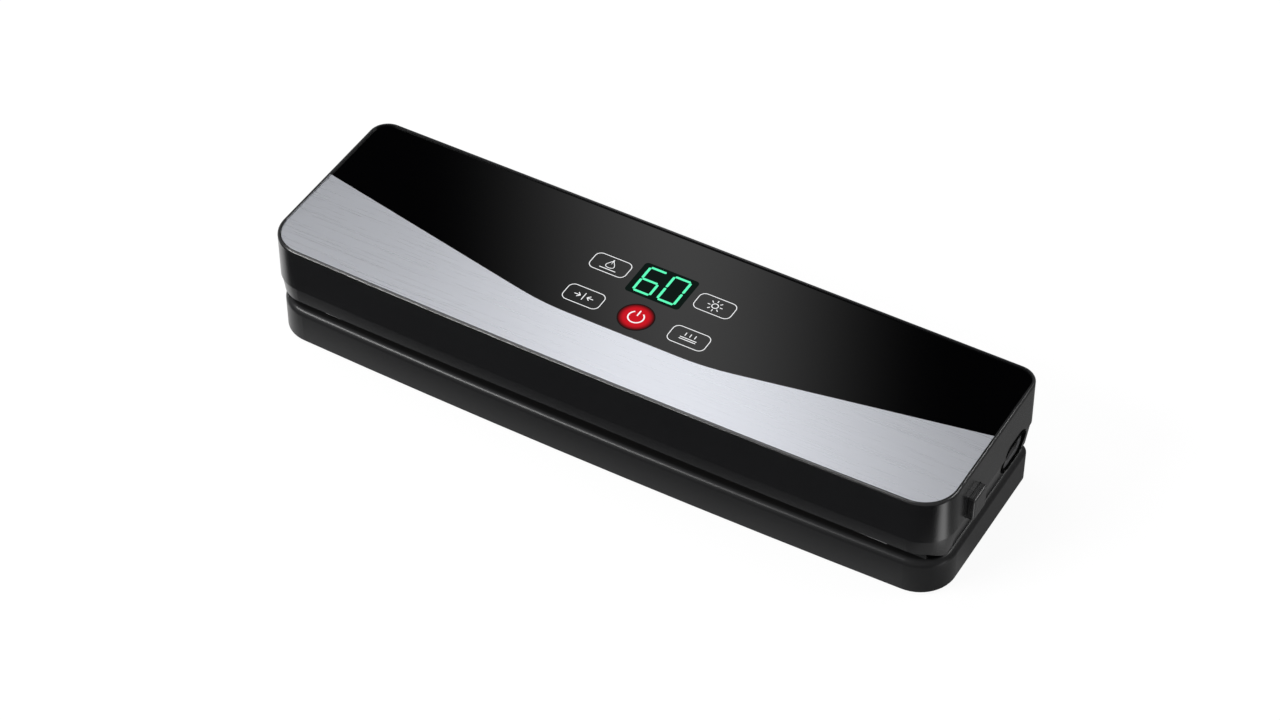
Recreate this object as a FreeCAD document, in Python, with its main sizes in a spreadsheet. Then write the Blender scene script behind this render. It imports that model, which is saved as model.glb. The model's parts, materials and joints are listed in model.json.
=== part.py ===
"""Countertop vacuum sealer: a hinged head with the pump and controls over a shallow base."""
import FreeCAD, Part
import math
import os
import re
import Sketcher

Vector = FreeCAD.Vector
Rotation = FreeCAD.Rotation

# Driving sizes in millimetres, degrees where the name says angle.
# X runs along the machine, the front faces -Y, Z is up from the table.
SIZES = {
    # head outline
    "lid_length": 370.0,
    "lid_depth": 108.6,
    "lid_front_radius": 7160.0,
    "lid_front_corner": 18.7,
    "lid_rear_corner": 10.2,
    "upper_height": 25.7,
    "lower_height": 14.7,
    "upper_inset": 0.9,
    "lower_inset": 3.0,
    "end_flare": 1.2,
    "lid_wall": 2.2,
    "rim_width": 1.7,
    "rim_height": 0.8,
    "rim_round": 1.2,
    "seam_groove": 0.35,
    "lid_edge_round": 0.8,
    "least_corner": 0.4,
    "lid_gap": 0.6,
    # panel, inlay and display
    "panel_thick": 1.6,
    "panel_gap": 0.1,
    "inlay_front_edge": 32.9,
    "inlay_bend": 44.6,
    "inlay_angle": 11.1,
    "inlay_bend_radius": 154.0,
    "window_width": 30.0,
    "window_depth": 22.5,
    "window_y": 17.4,
    "window_corner": 2.0,
    "key_spacing": 58.0,
    "key_rear_y": 17.8,
    "key_front_y": -7.8,
    "touch_pad_radius": 3.5,
    "board_thick": 1.6,
    "board_drop": 5.0,
    "board_length": 96.0,
    "board_depth": 52.0,
    "board_y": 4.8,
    "buzzer_x": -24.0,
    "buzzer_radius": 8.0,
    "buzzer_height": 8.0,
    "buzzer_port_depth": 4.0,
    # head underside
    "under_recess": 2.0,
    "floor_thick": 2.2,
    "step_height": 9.0,
    "end_band": 8.4,
    "front_band": 10.0,
    "rear_band": 14.0,
    "slot_height": 7.2,
    "slot_arch": 1.3,
    "slot_top_margin": 4.0,
    "slot_foot_margin": 0.0,
    "slot_riser": 7.3,
    "slot_wrap": 17.0,
    # sealing bar and gaskets
    "seal_margin": 29.0,
    "seal_width": 10.0,
    "seal_setback": 14.0,
    "seal_channel": 1.0,
    "ribbon_width": 5.0,
    "ribbon_thick": 0.15,
    "strip_depth": 1.8,
    "strip_proud": 0.5,
    "gasket_end_margin": 24.0,
    "gasket_front_gap": 4.8,
    "gasket_rear_gap": 12.8,
    "gasket_width": 5.0,
    "gasket_corner": 14.0,
    "gasket_proud": 0.3,
    "trough_margin": 5.0,
    "trough_depth": 10.0,
    "trough_wall": 1.8,
    "trough_corner": 5.0,
    "trough_lip": 1.2,
    "trough_lip_thick": 1.2,
    # base
    "base_end_inset": 1.0,
    "base_height": 20.0,
    "base_front_inset": 1.7,
    "base_rear_inset": 7.1,
    "base_front_corner": 19.0,
    "base_rear_corner": 5.0,
    "base_front_radius": 5515.0,
    "base_wall": 2.4,
    "shoulder_radius": 3.8,
    "deck_thick": 3.2,
    "plate_thick": 2.0,
    "foot_height": 1.5,
    "foot_radius": 7.0,
    "foot_inset": 23.2,
    "foot_setback": 10.0,
    "foot_peg_radius": 3.5,
    "base_screw_margin": 56.4,
    "screw_sink": 1.0,
    # hinge
    "hinge_margin": 67.0,
    "hinge_setback": 8.3,
    "hinge_rise": 2.0,
    "hinge_pin_radius": 1.6,
    "knuckle_radius": 4.0,
    "head_knuckle": 16.0,
    "base_knuckle": 9.0,
    # release latches
    "button_margin": 37.0,
    "button_width": 13.0,
    "button_height": 13.2,
    "button_low": 12.3,
    "button_proud": 3.4,
    "button_travel": 2.5,
    "button_corner": 1.2,
    "button_round": 0.9,
    "button_gap": 0.5,
    "button_flange": 2.0,
    "latch_setback": 9.0,
    "latch_thick": 3.0,
    "latch_width": 7.4,
    "latch_nose": 2.2,
    "latch_slack": 0.6,
    "latch_side_play": 1.2,
    "spring_radius": 2.6,
    "spring_wire": 0.6,
    "spring_length": 8.0,
    "spring_turns": 5.0,
    # power inlet
    "inlet_margin": 26.1,
    "inlet_rise": 10.6,
    "inlet_length": 24.6,
    "inlet_height": 15.6,
    "inlet_lip": 1.5,
    "inlet_proud": 0.3,
    "inlet_round": 0.3,
    "oval_flat": 0.03,
    "inlet_recess": 0.9,
    "socket_length": 14.0,
    "socket_height": 6.4,
    "socket_depth": 12.0,
    "socket_back": 4.0,
    "inlet_pin_radius": 1.2,
    "inlet_pin_length": 9.6,
    "inlet_pin_pitch": 8.6,
    "inlet_tab": 5.0,
    # pump set
    "pump_gap": 4.0,
    "pump_y": 8.0,
    "motor_radius": 13.0,
    "motor_length": 32.0,
    "pump_axis_rise": 15.0,
    "pump_block": 30.0,
    "pump_block_length": 22.0,
    "pump_chamber_radius": 11.5,
    "crank_radius": 8.5,
    "crank_thick": 7.0,
    "crank_throw": 3.0,
    "shaft_radius": 1.5,
    "diaphragm_thick": 1.5,
    "cover_thick": 6.0,
    "barb_radius": 2.0,
    "barb_bore": 1.0,
    "barb_offset": 7.5,
    "barb_length": 6.0,
    "saddle_wall": 3.0,
    "saddle_height": 10.7,
    "hose_radius": 3.0,
    "port_gap": 8.5,
    "valve_gap": 3.0,
    "valve_size": 17.0,
    "valve_height": 15.0,
    # power board
    "power_margin": 51.0,
    "power_y": 1.5,
    "power_length": 76.0,
    "power_depth": 58.0,
    "power_rise": 4.0,
    "core_length": 19.0,
    "core_depth": 19.4,
    "core_height": 15.0,
    "winding_depth": 29.0,
    "capacitor_radius": 8.0,
    "capacitor_height": 17.0,
    "capacitor_margin": 13.5,
    "relay_width": 8.0,
    "relay_depth": 24.2,
    "relay_height": 15.0,
    "relay_margin": 11.0,
    "relay_setback": 14.5,
    "lead_radius": 0.98,
    "lead_step": 8.0,
    "lead_pad": 4.0,
    "lead_apart": 2.8,
    "post_radius": 2.6,
    # fixings
    "screw_radius": 1.4,
    "screw_head_radius": 2.7,
    "screw_head_height": 1.8,
    "boss_radius": 4.0,
    "screw_margin": 19.0,
    "middle_screw_x": 16.6,
    "screw_bite": 8.0,
    # clearances
    "clearance": 0.3,
    "pin_clearance": 0.05,
    "knuckle_clearance": 0.4,
}

# Edges are told apart by their places, to this many millimetres.
TOLERANCE = 0.01
# The share of a run that an arc between two runs takes up.
ARC_SHARE = 0.45

doc = FreeCAD.newDocument("VacuumSealer")
sheet = doc.addObject("Spreadsheet::Sheet", "Sizes")
for row, (size_name, size_value) in enumerate(SIZES.items(), 1):
    sheet.set(f"A{row}", size_name)
    sheet.set(f"B{row}", str(size_value))
    sheet.setAlias(f"B{row}", size_name)
doc.recompute()

# Levels and places worked out from the driving sizes.
PLACES = {
    "z_base": "foot_height",
    "z_deck": "z_base + base_height",
    "z_deck_under": "z_deck - deck_thick",
    "z_plate": "z_base + plate_thick",
    "z_lid": "z_deck + lid_gap",
    "z_under": "z_lid + under_recess",
    "z_floor": "z_under + floor_thick",
    "z_step": "z_lid + step_height",
    "z_seam": "z_lid + lower_height",
    "z_top": "z_seam + upper_height",
    "z_panel": "z_top - rim_height",
    "z_shelf": "z_panel - panel_thick",
    "z_roof": "z_shelf - lid_wall",
    "z_board": "z_roof - board_drop",
    "y_front": "-lid_depth / 2",
    "y_rear": "lid_depth / 2",
    "x_end": "lid_length / 2",
    "y_base_front": "y_front + base_front_inset",
    "y_base_rear": "y_rear - base_rear_inset",
    "x_skirt": "x_end + end_flare",
    "x_base": "x_skirt - base_end_inset",
    "hinge_x": "x_end - hinge_margin",
    "screw_x": "x_end - screw_margin",
    "slot_top_half": "x_end - slot_top_margin",
    "slot_foot_half": "x_end - slot_foot_margin",
    "seal_length": "lid_length - 2 * seal_margin",
    "gasket_length": "lid_length - 2 * gasket_end_margin",
    "y_hinge": "y_rear - hinge_setback",
    "z_hinge": "z_deck + hinge_rise",
    "y_seal": "y_front + seal_setback",
    "gasket_front": "y_seal + seal_width / 2 + gasket_front_gap",
    "gasket_rear": "y_rear - rear_band - gasket_rear_gap",
    "gasket_depth": "gasket_rear - gasket_front",
    "gasket_y": "(gasket_rear + gasket_front) / 2",
    "z_seal_roof": "z_under + seal_channel",
    "z_seal": "z_lid + clearance / 2",
    "x_latch": "x_end - latch_setback",
    "button_y": "y_front + button_margin",
    "z_button": "z_lid + button_low",
    "x_button": "x_skirt - upper_inset + button_proud",
    "x_wall_inner": "x_skirt - lower_inset - lid_wall",
    "inlet_y": "y_rear - inlet_margin",
    "z_inlet": "z_lid + inlet_rise",
    "x_inlet": "x_skirt - (upper_inset + lower_inset) / 2",
    "x_socket": "x_inlet - inlet_recess",
    "z_pump": "z_floor + pump_axis_rise",
    "pump_x": "board_length / 2 + pump_gap + motor_length / 2",
    "x_block": "pump_x + motor_length / 2",
    "x_diaphragm": "x_block + pump_block_length",
    "x_cover": "x_diaphragm + diaphragm_thick",
    "x_barb": "x_cover + cover_thick + barb_length",
    "port_x": "x_barb + port_gap",
    "port_y": "pump_y + barb_offset",
    "valve_x": "x_block",
    "valve_y": "pump_y - pump_block / 2 - valve_gap - valve_size / 2",
    "z_valve": "z_floor + valve_height / 2",
    "power_x": "power_margin + power_length / 2 - x_end",
    "z_power": "z_floor + power_rise",
    "z_screw_seat": "z_floor + lid_wall",
    "trough_half": "gasket_length / 2 - gasket_width - trough_margin",
    "trough_reach": "gasket_depth / 2 - gasket_width - trough_margin",
}
places = doc.addObject("Spreadsheet::Sheet", "Places")


def bound(text):
    """Write an expression with each size and place as its sheet cell."""
    def cell(found):
        word = found.group()
        if word in SIZES:
            return "Sizes." + word
        return "Places." + word if word in PLACES else word
    return re.sub(r"[a-z_]+", cell, str(text))


for row, (place_name, place_text) in enumerate(PLACES.items(), 1):
    places.set(f"A{row}", place_name)
    places.set(f"B{row}", "=" + bound(place_text))
    places.setAlias(f"B{row}", place_name)
scratch = doc.addObject("Spreadsheet::Sheet", "Scratch")
doc.recompute()


def number(text):
    """The value of an expression now, for shapes and first guesses of sketches."""
    scratch.set("A1", "=" + bound(text))
    scratch.recompute()
    return float(scratch.get("A1"))


def tie(thing, **expressions):
    """Bind properties to expressions; a double underscore stands for a dot."""
    for key, text in expressions.items():
        thing.setExpression(key.replace("__", "."), bound(text))
    return thing


def seat(thing, x="0", y="0", z="0"):
    return tie(thing, Placement__Base__x=x, Placement__Base__y=y, Placement__Base__z=z)


# Solids from Part primitives and booleans

def box(low, high):
    """A block between two corners, each given as three expressions."""
    block = doc.addObject("Part::Box", "block")
    for key, a, b in zip(("Length", "Width", "Height"), low, high):
        tie(block, **{key: f"({b}) - ({a})"})
    return seat(block, *low)


TURNS = {
    "z": Rotation(),
    "x": Rotation(Vector(0, 1, 0), 90),
    "y": Rotation(Vector(1, 0, 0), -90),
}


def rod(start, radius, length, axis="z"):
    """A round bar from a starting centre along an axis."""
    bar = doc.addObject("Part::Cylinder", "rod")
    tie(bar, Radius=radius, Height=length)
    bar.Placement = FreeCAD.Placement(Vector(), TURNS[axis])
    return seat(bar, *start)


def join(*pieces):
    whole = doc.addObject("Part::MultiFuse", "join")
    whole.Shapes = list(pieces)
    return whole


def cut(piece, *tools):
    left = doc.addObject("Part::Cut", "cut")
    left.Base = piece
    left.Tool = tools[0] if len(tools) == 1 else join(*tools)
    return left


def overlap(piece, other):
    shared = doc.addObject("Part::Common", "overlap")
    shared.Base = piece
    shared.Tool = other
    return shared


def mirrored(piece):
    """The same piece on the other end of the machine."""
    twin = doc.addObject("Part::Mirroring", "mirrored")
    twin.Source = piece
    twin.Normal = Vector(1, 0, 0)
    return twin


def round_edges(piece, radius, chosen):
    """Fillet the edges that chosen() accepts."""
    doc.recompute()
    soft = doc.addObject("Part::Fillet", "rounded")
    soft.Base = piece
    size = number(radius)
    picked = [i for i, edge in enumerate(piece.Shape.Edges, 1) if chosen(edge)]
    soft.Edges = [(i, size, size) for i in picked]
    return soft


def level_edge(height):
    """A test for edges that lie flat at one height."""
    z = number(height)

    def lies_flat(edge):
        span = edge.BoundBox
        return abs(span.ZMin - z) < TOLERANCE and abs(span.ZMax - z) < TOLERANCE
    return lies_flat


# Outlines drawn as constrained sketches

PLANES = {
    "flat": Rotation(),
    "end": Rotation(Vector(1, 1, 1), 120),
    "front": Rotation(Vector(1, 0, 0), 90),
}


def new_sketch(plane, height):
    """A sketch on a plane, moved along the plane's normal to a height."""
    drawing = doc.addObject("Sketcher::SketchObject", "outline")
    drawing.Placement = FreeCAD.Placement(Vector(), PLANES[plane])
    along = {"flat": "z", "end": "x", "front": "y"}[plane]
    return seat(drawing, **{along: height})


def hold(drawing, label, text, kind, *where):
    """Add a dimension to a sketch and bind it."""
    index = drawing.addConstraint(Sketcher.Constraint(kind, *where, number(text)))
    drawing.renameConstraint(index, label)
    drawing.setExpression("Constraints." + label, bound(text))


def plan(height, inset, outline):
    """A plan outline: straight rear and ends, bowed front, four round corners, drawn inset."""
    half, front, rear, bow, front_corner, rear_corner = outline
    half = f"({half} - ({inset}))"
    front = f"({front} + ({inset}))"
    rear = f"({rear} - ({inset}))"
    bow = f"({bow} - ({inset}))"
    front_corner = f"({front_corner} - ({inset}))"
    rear_corner = f"max({rear_corner} - ({inset}); least_corner)"
    h, f, r, big = number(half), number(front), number(rear), number(bow)
    rf, rr = number(front_corner), number(rear_corner)
    bow_y = f + big
    cx = h - rf
    cy = bow_y - math.sqrt((big - rf) ** 2 - cx ** 2)
    lean = math.asin(cx / (big - rf))
    up = Vector(0, 0, 1)
    quarter = math.pi / 2

    def arc(x, y, radius, start, end):
        return Part.ArcOfCircle(Part.Circle(Vector(x, y, 0), up, radius), start, end)

    def touch(x, y, radius, angle):
        return Vector(x + radius * math.cos(angle), y + radius * math.sin(angle), 0)

    drawing = new_sketch("flat", height)
    drawing.addGeometry([
        arc(0, bow_y, big, -quarter - lean, -quarter + lean),
        arc(cx, cy, rf, -quarter + lean, 0),
        Part.LineSegment(Vector(h, cy, 0), Vector(h, r - rr, 0)),
        arc(h - rr, r - rr, rr, 0, quarter),
        Part.LineSegment(Vector(h - rr, r, 0), Vector(rr - h, r, 0)),
        arc(rr - h, r - rr, rr, quarter, 2 * quarter),
        Part.LineSegment(Vector(-h, r - rr, 0), Vector(-h, cy, 0)),
        arc(-cx, cy, rf, math.pi, 1.5 * math.pi - lean),
    ], False)
    for i in range(8):
        drawing.addConstraint(Sketcher.Constraint("Tangent", i, 2, (i + 1) % 8, 1))
    for i in (2, 6):
        drawing.addConstraint(Sketcher.Constraint("Vertical", i))
    drawing.addConstraint(Sketcher.Constraint("Horizontal", 4))
    drawing.addConstraint(Sketcher.Constraint("PointOnObject", 0, 3, -2))
    hold(drawing, "bow", bow, "Radius", 0)
    hold(drawing, "bow_centre", f"{front} + {bow}", "DistanceY", 0, 3)
    for side, i in (("right", 1), ("left", 7)):
        hold(drawing, "front_" + side, front_corner, "Radius", i)
    for side, i in (("right", 3), ("left", 5)):
        hold(drawing, "rear_" + side, rear_corner, "Radius", i)
    hold(drawing, "rear", rear, "DistanceY", 4, 1)
    hold(drawing, "right_end", half, "DistanceX", 2, 1)
    hold(drawing, "left_end", f"-{half}", "DistanceX", 6, 1)
    return drawing


LID = ("x_end", "y_front", "y_rear", "lid_front_radius", "lid_front_corner", "lid_rear_corner")
# The head below its rim, whose ends stand out a little
SKIRT = ("x_skirt", *LID[1:])
BASE = ("x_base", "y_base_front", "y_base_rear", "base_front_radius",
        "base_front_corner", "base_rear_corner")


def round_rect(plane, height, centre, width, tall, corner):
    """A rectangle with round corners, centred on a point of its plane."""
    cx, cy = centre
    x, y = number(cx), number(cy)
    w, t, r = number(width) / 2, number(tall) / 2, number(corner)
    up = Vector(0, 0, 1)
    drawing = new_sketch(plane, height)
    corners = ((1, 1), (-1, 1), (-1, -1), (1, -1))
    shapes = []
    for i, (sx, sy) in enumerate(corners):
        middle = Vector(x + sx * (w - r), y + sy * (t - r), 0)
        turn = (i + 1) * math.pi / 2
        shapes.append(Part.ArcOfCircle(Part.Circle(middle, up, r), turn - math.pi / 2, turn))
        nx, ny = corners[(i + 1) % 4]
        start = shapes[-1].EndPoint
        end_middle = Vector(x + nx * (w - r), y + ny * (t - r), 0)
        end = end_middle + Vector(r * math.cos(turn), r * math.sin(turn), 0)
        shapes.append(Part.LineSegment(start, end))
    drawing.addGeometry(shapes, False)
    for i in range(8):
        drawing.addConstraint(Sketcher.Constraint("Tangent", i, 2, (i + 1) % 8, 1))
    for i in (2, 4, 6):
        drawing.addConstraint(Sketcher.Constraint("Equal", 0, i))
    drawing.addConstraint(Sketcher.Constraint("Horizontal", 1))
    drawing.addConstraint(Sketcher.Constraint("Horizontal", 5))
    drawing.addConstraint(Sketcher.Constraint("Vertical", 3))
    drawing.addConstraint(Sketcher.Constraint("Vertical", 7))
    hold(drawing, "corner", corner, "Radius", 0)
    hold(drawing, "top", f"({cy}) + ({tall}) / 2", "DistanceY", 1, 1)
    hold(drawing, "foot", f"({cy}) - ({tall}) / 2", "DistanceY", 5, 1)
    hold(drawing, "left", f"({cx}) - ({width}) / 2", "DistanceX", 3, 1)
    hold(drawing, "right", f"({cx}) + ({width}) / 2", "DistanceX", 7, 1)
    return drawing


def polygon(plane, height, points):
    """A closed outline through corner points, each corner held by its two distances."""
    drawing = new_sketch(plane, height)
    spots = [Vector(number(x), number(y), 0) for x, y in points]
    count = len(spots)
    sides = [Part.LineSegment(spots[i], spots[(i + 1) % count]) for i in range(count)]
    drawing.addGeometry(sides, False)
    for i, (x, y) in enumerate(points):
        drawing.addConstraint(Sketcher.Constraint("Coincident", i, 2, (i + 1) % count, 1))
        hold(drawing, f"across_{i}", x, "DistanceX", i, 1)
        hold(drawing, f"along_{i}", y, "DistanceY", i, 1)
    return drawing


def extrude(drawing, length):
    """A solid from a sketch, raised along the sketch's own normal."""
    solid = doc.addObject("Part::Extrusion", "extrusion")
    solid.Base = drawing
    solid.DirMode = "Normal"
    solid.Solid = True
    return tie(solid, LengthFwd=length)


def loft(lower, upper):
    """A ruled solid between two sketches with the same edges."""
    solid = doc.addObject("Part::Loft", "loft")
    solid.Sections = [lower, upper]
    solid.Solid = True
    solid.Ruled = True
    return solid


NODES = {}


def keep(name, piece):
    """Name a finished sub-part."""
    piece.Label = name
    NODES[name] = piece
    return piece


def feature(name, shape):
    """A sub-part whose shape is worked out in code."""
    made = doc.addObject("Part::Feature", name)
    made.Shape = shape
    made.Placement = FreeCAD.Placement()
    return keep(name, made)


ENDS = (("left", -1), ("right", 1))


def corners(x, y):
    """Four places at plus and minus x and y, as expressions."""
    return [(f"{sx} * ({x})", f"{sy} * ({y})") for sx in (1, -1) for sy in (1, -1)]


# Where the two halves of the head are screwed together: clear of the seal, gaskets and pump
HEAD_SCREWS = [(f"{side} * {reach}", y) for side in (1, -1)
               for reach, y in (("hinge_x", "y_rear - rear_band - boss_radius - clearance"),
                                ("screw_x", "y_front + front_band + boss_radius + seal_width"),
                                ("middle_screw_x", "y_rear - rear_band - boss_radius - clearance"))]
BASE_SCREWS = [(f"{side} * (x_base - base_screw_margin)", y) for side in (-1, 0, 1)
               for y in ("y_base_front + base_wall + boss_radius + screw_head_radius",
                         "gasket_y + gasket_depth / 2 + boss_radius + gasket_width")]
KEYS = [(f"{side} * key_spacing / 2", y) for side in (-1, 1) for y in ("key_rear_y", "key_front_y")]
KEYS.append(("0", "key_front_y"))


def gasket_ring(z, height, play):
    """The racetrack ring of a gasket or its groove, widened by some play."""
    outer = extrude(round_rect("flat", z, ("0", "gasket_y"), f"gasket_length + 2 * {play}",
                               f"gasket_depth + 2 * {play}", f"gasket_corner + {play}"), height)
    inner = extrude(round_rect("flat", z, ("0", "gasket_y"),
                               f"gasket_length - 2 * gasket_width - 2 * {play}",
                               f"gasket_depth - 2 * gasket_width - 2 * {play}",
                               f"gasket_corner - gasket_width - {play}"), height)
    return cut(outer, inner)


def hinge_spans(side):
    """Start and length of the head knuckle and the two base knuckles at one hinge."""
    centre = f"{side} * hinge_x"
    inner = "head_knuckle / 2 + knuckle_clearance"
    return [(f"{centre} - head_knuckle / 2", "head_knuckle"),
            (f"{centre} - ({inner}) - base_knuckle", "base_knuckle"),
            (f"{centre} + ({inner})", "base_knuckle")]


def knuckle(span, radius, play="0"):
    start, length = span
    return rod((f"{start} - {play}", "y_hinge", "z_hinge"), radius, f"{length} + 2 * {play}", "x")


def button_hole(play):
    """The square hole through an end wall that a release button slides in."""
    return extrude(round_rect("end", "x_wall_inner - end_band / 2",
                              ("button_y", "z_button + button_height / 2"), f"button_width + 2 * {play}",
                              f"button_height + 2 * {play}", f"button_corner + {play}"),
                   "2 * end_band")


def inlet_oval(x, length, trim):
    """The oval of the power inlet along X, smaller by a trim on every side."""
    return extrude(round_rect("end", x, ("inlet_y", "z_inlet"), f"inlet_length - 2 * ({trim})",
                              f"inlet_height - 2 * ({trim})",
                              f"inlet_height / 2 - ({trim}) - oval_flat"), length)


def inlet_hole():
    """The way for the inlet through the end wall and past the edge of the floor."""
    return inlet_oval("x_socket - socket_depth - socket_back",
                      "socket_depth + socket_back + inlet_recess + end_band", "0")


def upper_shell():
    """The cover: drafted walls, raised rim, shelf for the panels and bosses for the screws."""
    body = loft(plan("z_seam", "upper_inset", SKIRT), plan("z_top", "0", LID))
    body = round_edges(body, "rim_round", level_edge("z_top"))
    hollow = loft(plan("z_seam", "upper_inset + lid_wall", SKIRT), plan("z_roof", "lid_wall", LID))
    shelf = extrude(plan("z_shelf", "rim_width", LID), "panel_thick + rim_height")
    shell = cut(body, hollow, shelf)
    posts = [rod((x, y, "z_seam"), "boss_radius", "z_roof - z_seam") for x, y in HEAD_SCREWS]
    board_x, board_y = "board_length / 2 - post_radius", "board_depth / 2 - post_radius"
    hangers = [rod((x, f"board_y + {y}", "z_board"), "post_radius", "board_drop")
               for x, y in corners(board_x, board_y)]
    tapped = [rod((x, y, "z_seam"), "screw_radius", "screw_bite") for x, y in HEAD_SCREWS]
    tapped += [rod((x, f"board_y + {y}", "z_board"), "screw_radius", "board_drop")
               for x, y in corners(board_x, board_y)]
    opening = extrude(round_rect("flat", "z_roof", ("0", "window_y"), "window_width + 2 * clearance",
                                 "window_depth + 2 * clearance", "window_corner"), "lid_wall")
    pads = [rod((x, y, "z_roof"), "touch_pad_radius + clearance", "lid_wall") for x, y in KEYS]
    hole = button_hole("button_gap")
    shell = cut(join(shell, *posts, *hangers), *tapped, opening, *pads, hole, mirrored(hole),
                inlet_hole())
    keep("head_upper_shell", shell)


def slot_relief():
    """The raised front edge that lets a bag in, arched and tapering off round the corners."""
    foot, low = "z_lid - lid_gap", "z_deck + slot_height - slot_arch"
    ends = [("slot_foot_half", foot), ("slot_top_half", low)]
    raised = polygon("front", "y_front + slot_riser",
                     [(f"-{x}", z) for x, z in ends] + [("0", "z_deck + slot_height")]
                     + [(x, z) for x, z in reversed(ends)])
    wrap = extrude(polygon("end", "x_end - end_band",
                           [("y_front", foot), ("y_front + slot_wrap", foot),
                            ("y_front + slot_riser", low), ("y_front", low)]), "end_band + end_flare")
    return join(extrude(raised, "2 * slot_riser"), wrap, mirrored(wrap))


def lower_shell():
    """The head's floor: bag slot, seal channel, gasket groove, hinge knuckles and bosses."""
    body = loft(plan("z_lid", "lower_inset", SKIRT),
                plan("z_seam", "upper_inset + seam_groove", SKIRT))
    body = round_edges(body, "lid_edge_round", level_edge("z_lid"))
    high = loft(plan("z_step", "lower_inset + lid_wall", SKIRT),
                plan("z_seam", "upper_inset + lid_wall", SKIRT))
    low = box(("-x_end + end_band", "y_front + front_band", "z_floor"),
              ("x_end - end_band", "y_rear - rear_band", "z_step"))
    under = box(("-x_end + end_band", "y_front", "z_lid"),
                ("x_end - end_band", "y_rear - rear_band", "z_under"))
    heel = extrude(polygon("end", "-x_skirt",
                           [("y_hinge", "z_lid - lid_gap"), ("y_hinge", "z_hinge + clearance"),
                            ("y_rear", "z_step + clearance"), ("y_rear + lid_gap", "z_lid - lid_gap")]),
                   "2 * x_skirt")
    shell = cut(body, high, low, under, slot_relief(), heel)
    posts = [rod((x, y, "z_floor"), "boss_radius", "z_seam - z_floor") for x, y in HEAD_SCREWS]
    power_x, power_y = "power_length / 2 - post_radius", "power_depth / 2 - post_radius"
    stands = [rod((f"power_x + {x}", f"power_y + {y}", "z_floor"), "post_radius", "power_rise")
              for x, y in corners(power_x, power_y)]
    pegs = [rod((f"power_x + {x}", f"power_y + {y}", "z_floor + power_rise"), "screw_radius",
                "2 * board_thick") for x, y in corners(power_x, power_y)]
    rib_x = "x_latch - latch_thick - spring_length"
    rib = box((f"{rib_x} - lid_wall", "button_y - latch_width / 2", "z_floor"),
              (rib_x, "button_y + latch_width / 2", "z_button + button_height"))
    webs = []
    sockets = []
    for name, side in ENDS:
        spans = hinge_spans(side)
        webs.append(knuckle(spans[0], "knuckle_radius"))
        webs.append(box((spans[0][0], "y_hinge - knuckle_radius", "z_hinge"),
                        (f"{spans[0][0]} + head_knuckle", "y_hinge", "z_floor + lid_wall")))
        sockets += [knuckle(span, "knuckle_radius + knuckle_clearance", "knuckle_clearance")
                    for span in spans[1:]]
        sockets.append(knuckle(spans[0], "hinge_pin_radius + pin_clearance"))
    shell = join(shell, *posts, *stands, *pegs, rib, mirrored(rib))
    channel = box(("-seal_length / 2 - clearance", "y_seal - seal_width / 2 - clearance", "z_under"),
                  ("seal_length / 2 + clearance", "y_seal + seal_width / 2 + clearance", "z_seal_roof"))
    slot = box(("x_latch - latch_thick - button_travel - latch_slack",
                "button_y - latch_width / 2 - clearance", "z_lid"),
               ("x_latch + latch_slack", "button_y + latch_width / 2 + clearance", "z_step"))
    holes = [rod((x, y, "z_lid"), "screw_radius + clearance", "lower_height") for x, y in HEAD_SCREWS]
    holes += [rod((x, y, "z_lid"), "screw_head_radius + clearance", "z_screw_seat - z_lid")
              for x, y in HEAD_SCREWS]
    holes += [rod((f"{side} * (seal_length / 2 - seal_width / 2)", "y_seal", "z_under"),
                  "screw_radius + clearance", "lower_height") for name, side in ENDS]
    holes.append(rod(("port_x", "port_y", "z_under"), "barb_radius", "floor_thick"))
    button = button_hole("button_gap")
    groove = gasket_ring("z_under", "seal_channel", "clearance")
    shell = cut(shell, *sockets[:2], *sockets[3:5], channel, groove, slot, mirrored(slot), *holes,
                button, mirrored(button), inlet_hole())
    keep("head_lower_shell", cut(join(shell, *webs), sockets[2], sockets[5]))


def panels():
    """The glossy control panel and the steel inlay that meet along a bent line."""
    slope = "tan(inlay_angle * 1 deg)"
    middle = "y_front + inlay_front_edge"
    zone = extrude(polygon("flat", "z_shelf", [
        ("-x_end", "y_front"), ("x_end", "y_front"),
        ("x_end", f"{middle} + (x_end - inlay_bend) * {slope}"), ("inlay_bend", middle),
        ("-inlay_bend", middle), ("-x_end", f"{middle} + (x_end - inlay_bend) * {slope}")]),
        "panel_thick")
    doc.recompute()
    bend_y = number(middle)
    soft = round_edges(zone, "inlay_bend_radius", lambda edge: (
        edge.BoundBox.ZLength > number("panel_thick") / 2
        and abs(abs(edge.BoundBox.XMin) - number("inlay_bend")) < TOLERANCE
        and abs(edge.BoundBox.YMin - bend_y) < TOLERANCE))
    plate = extrude(plan("z_shelf", "rim_width + panel_gap", LID), "panel_thick")
    keep("steel_inlay", overlap(plate, soft))
    rear_plate = extrude(plan("z_shelf", "rim_width + panel_gap", LID), "panel_thick")
    opening = extrude(round_rect("flat", "z_shelf", ("0", "window_y"), "window_width", "window_depth",
                                 "window_corner"), "panel_thick")
    keep("control_panel", cut(rear_plate, soft, opening))
    keep("display_window", extrude(round_rect("flat", "z_shelf", ("0", "window_y"), "window_width",
                                              "window_depth", "window_corner"), "panel_thick"))


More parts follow.
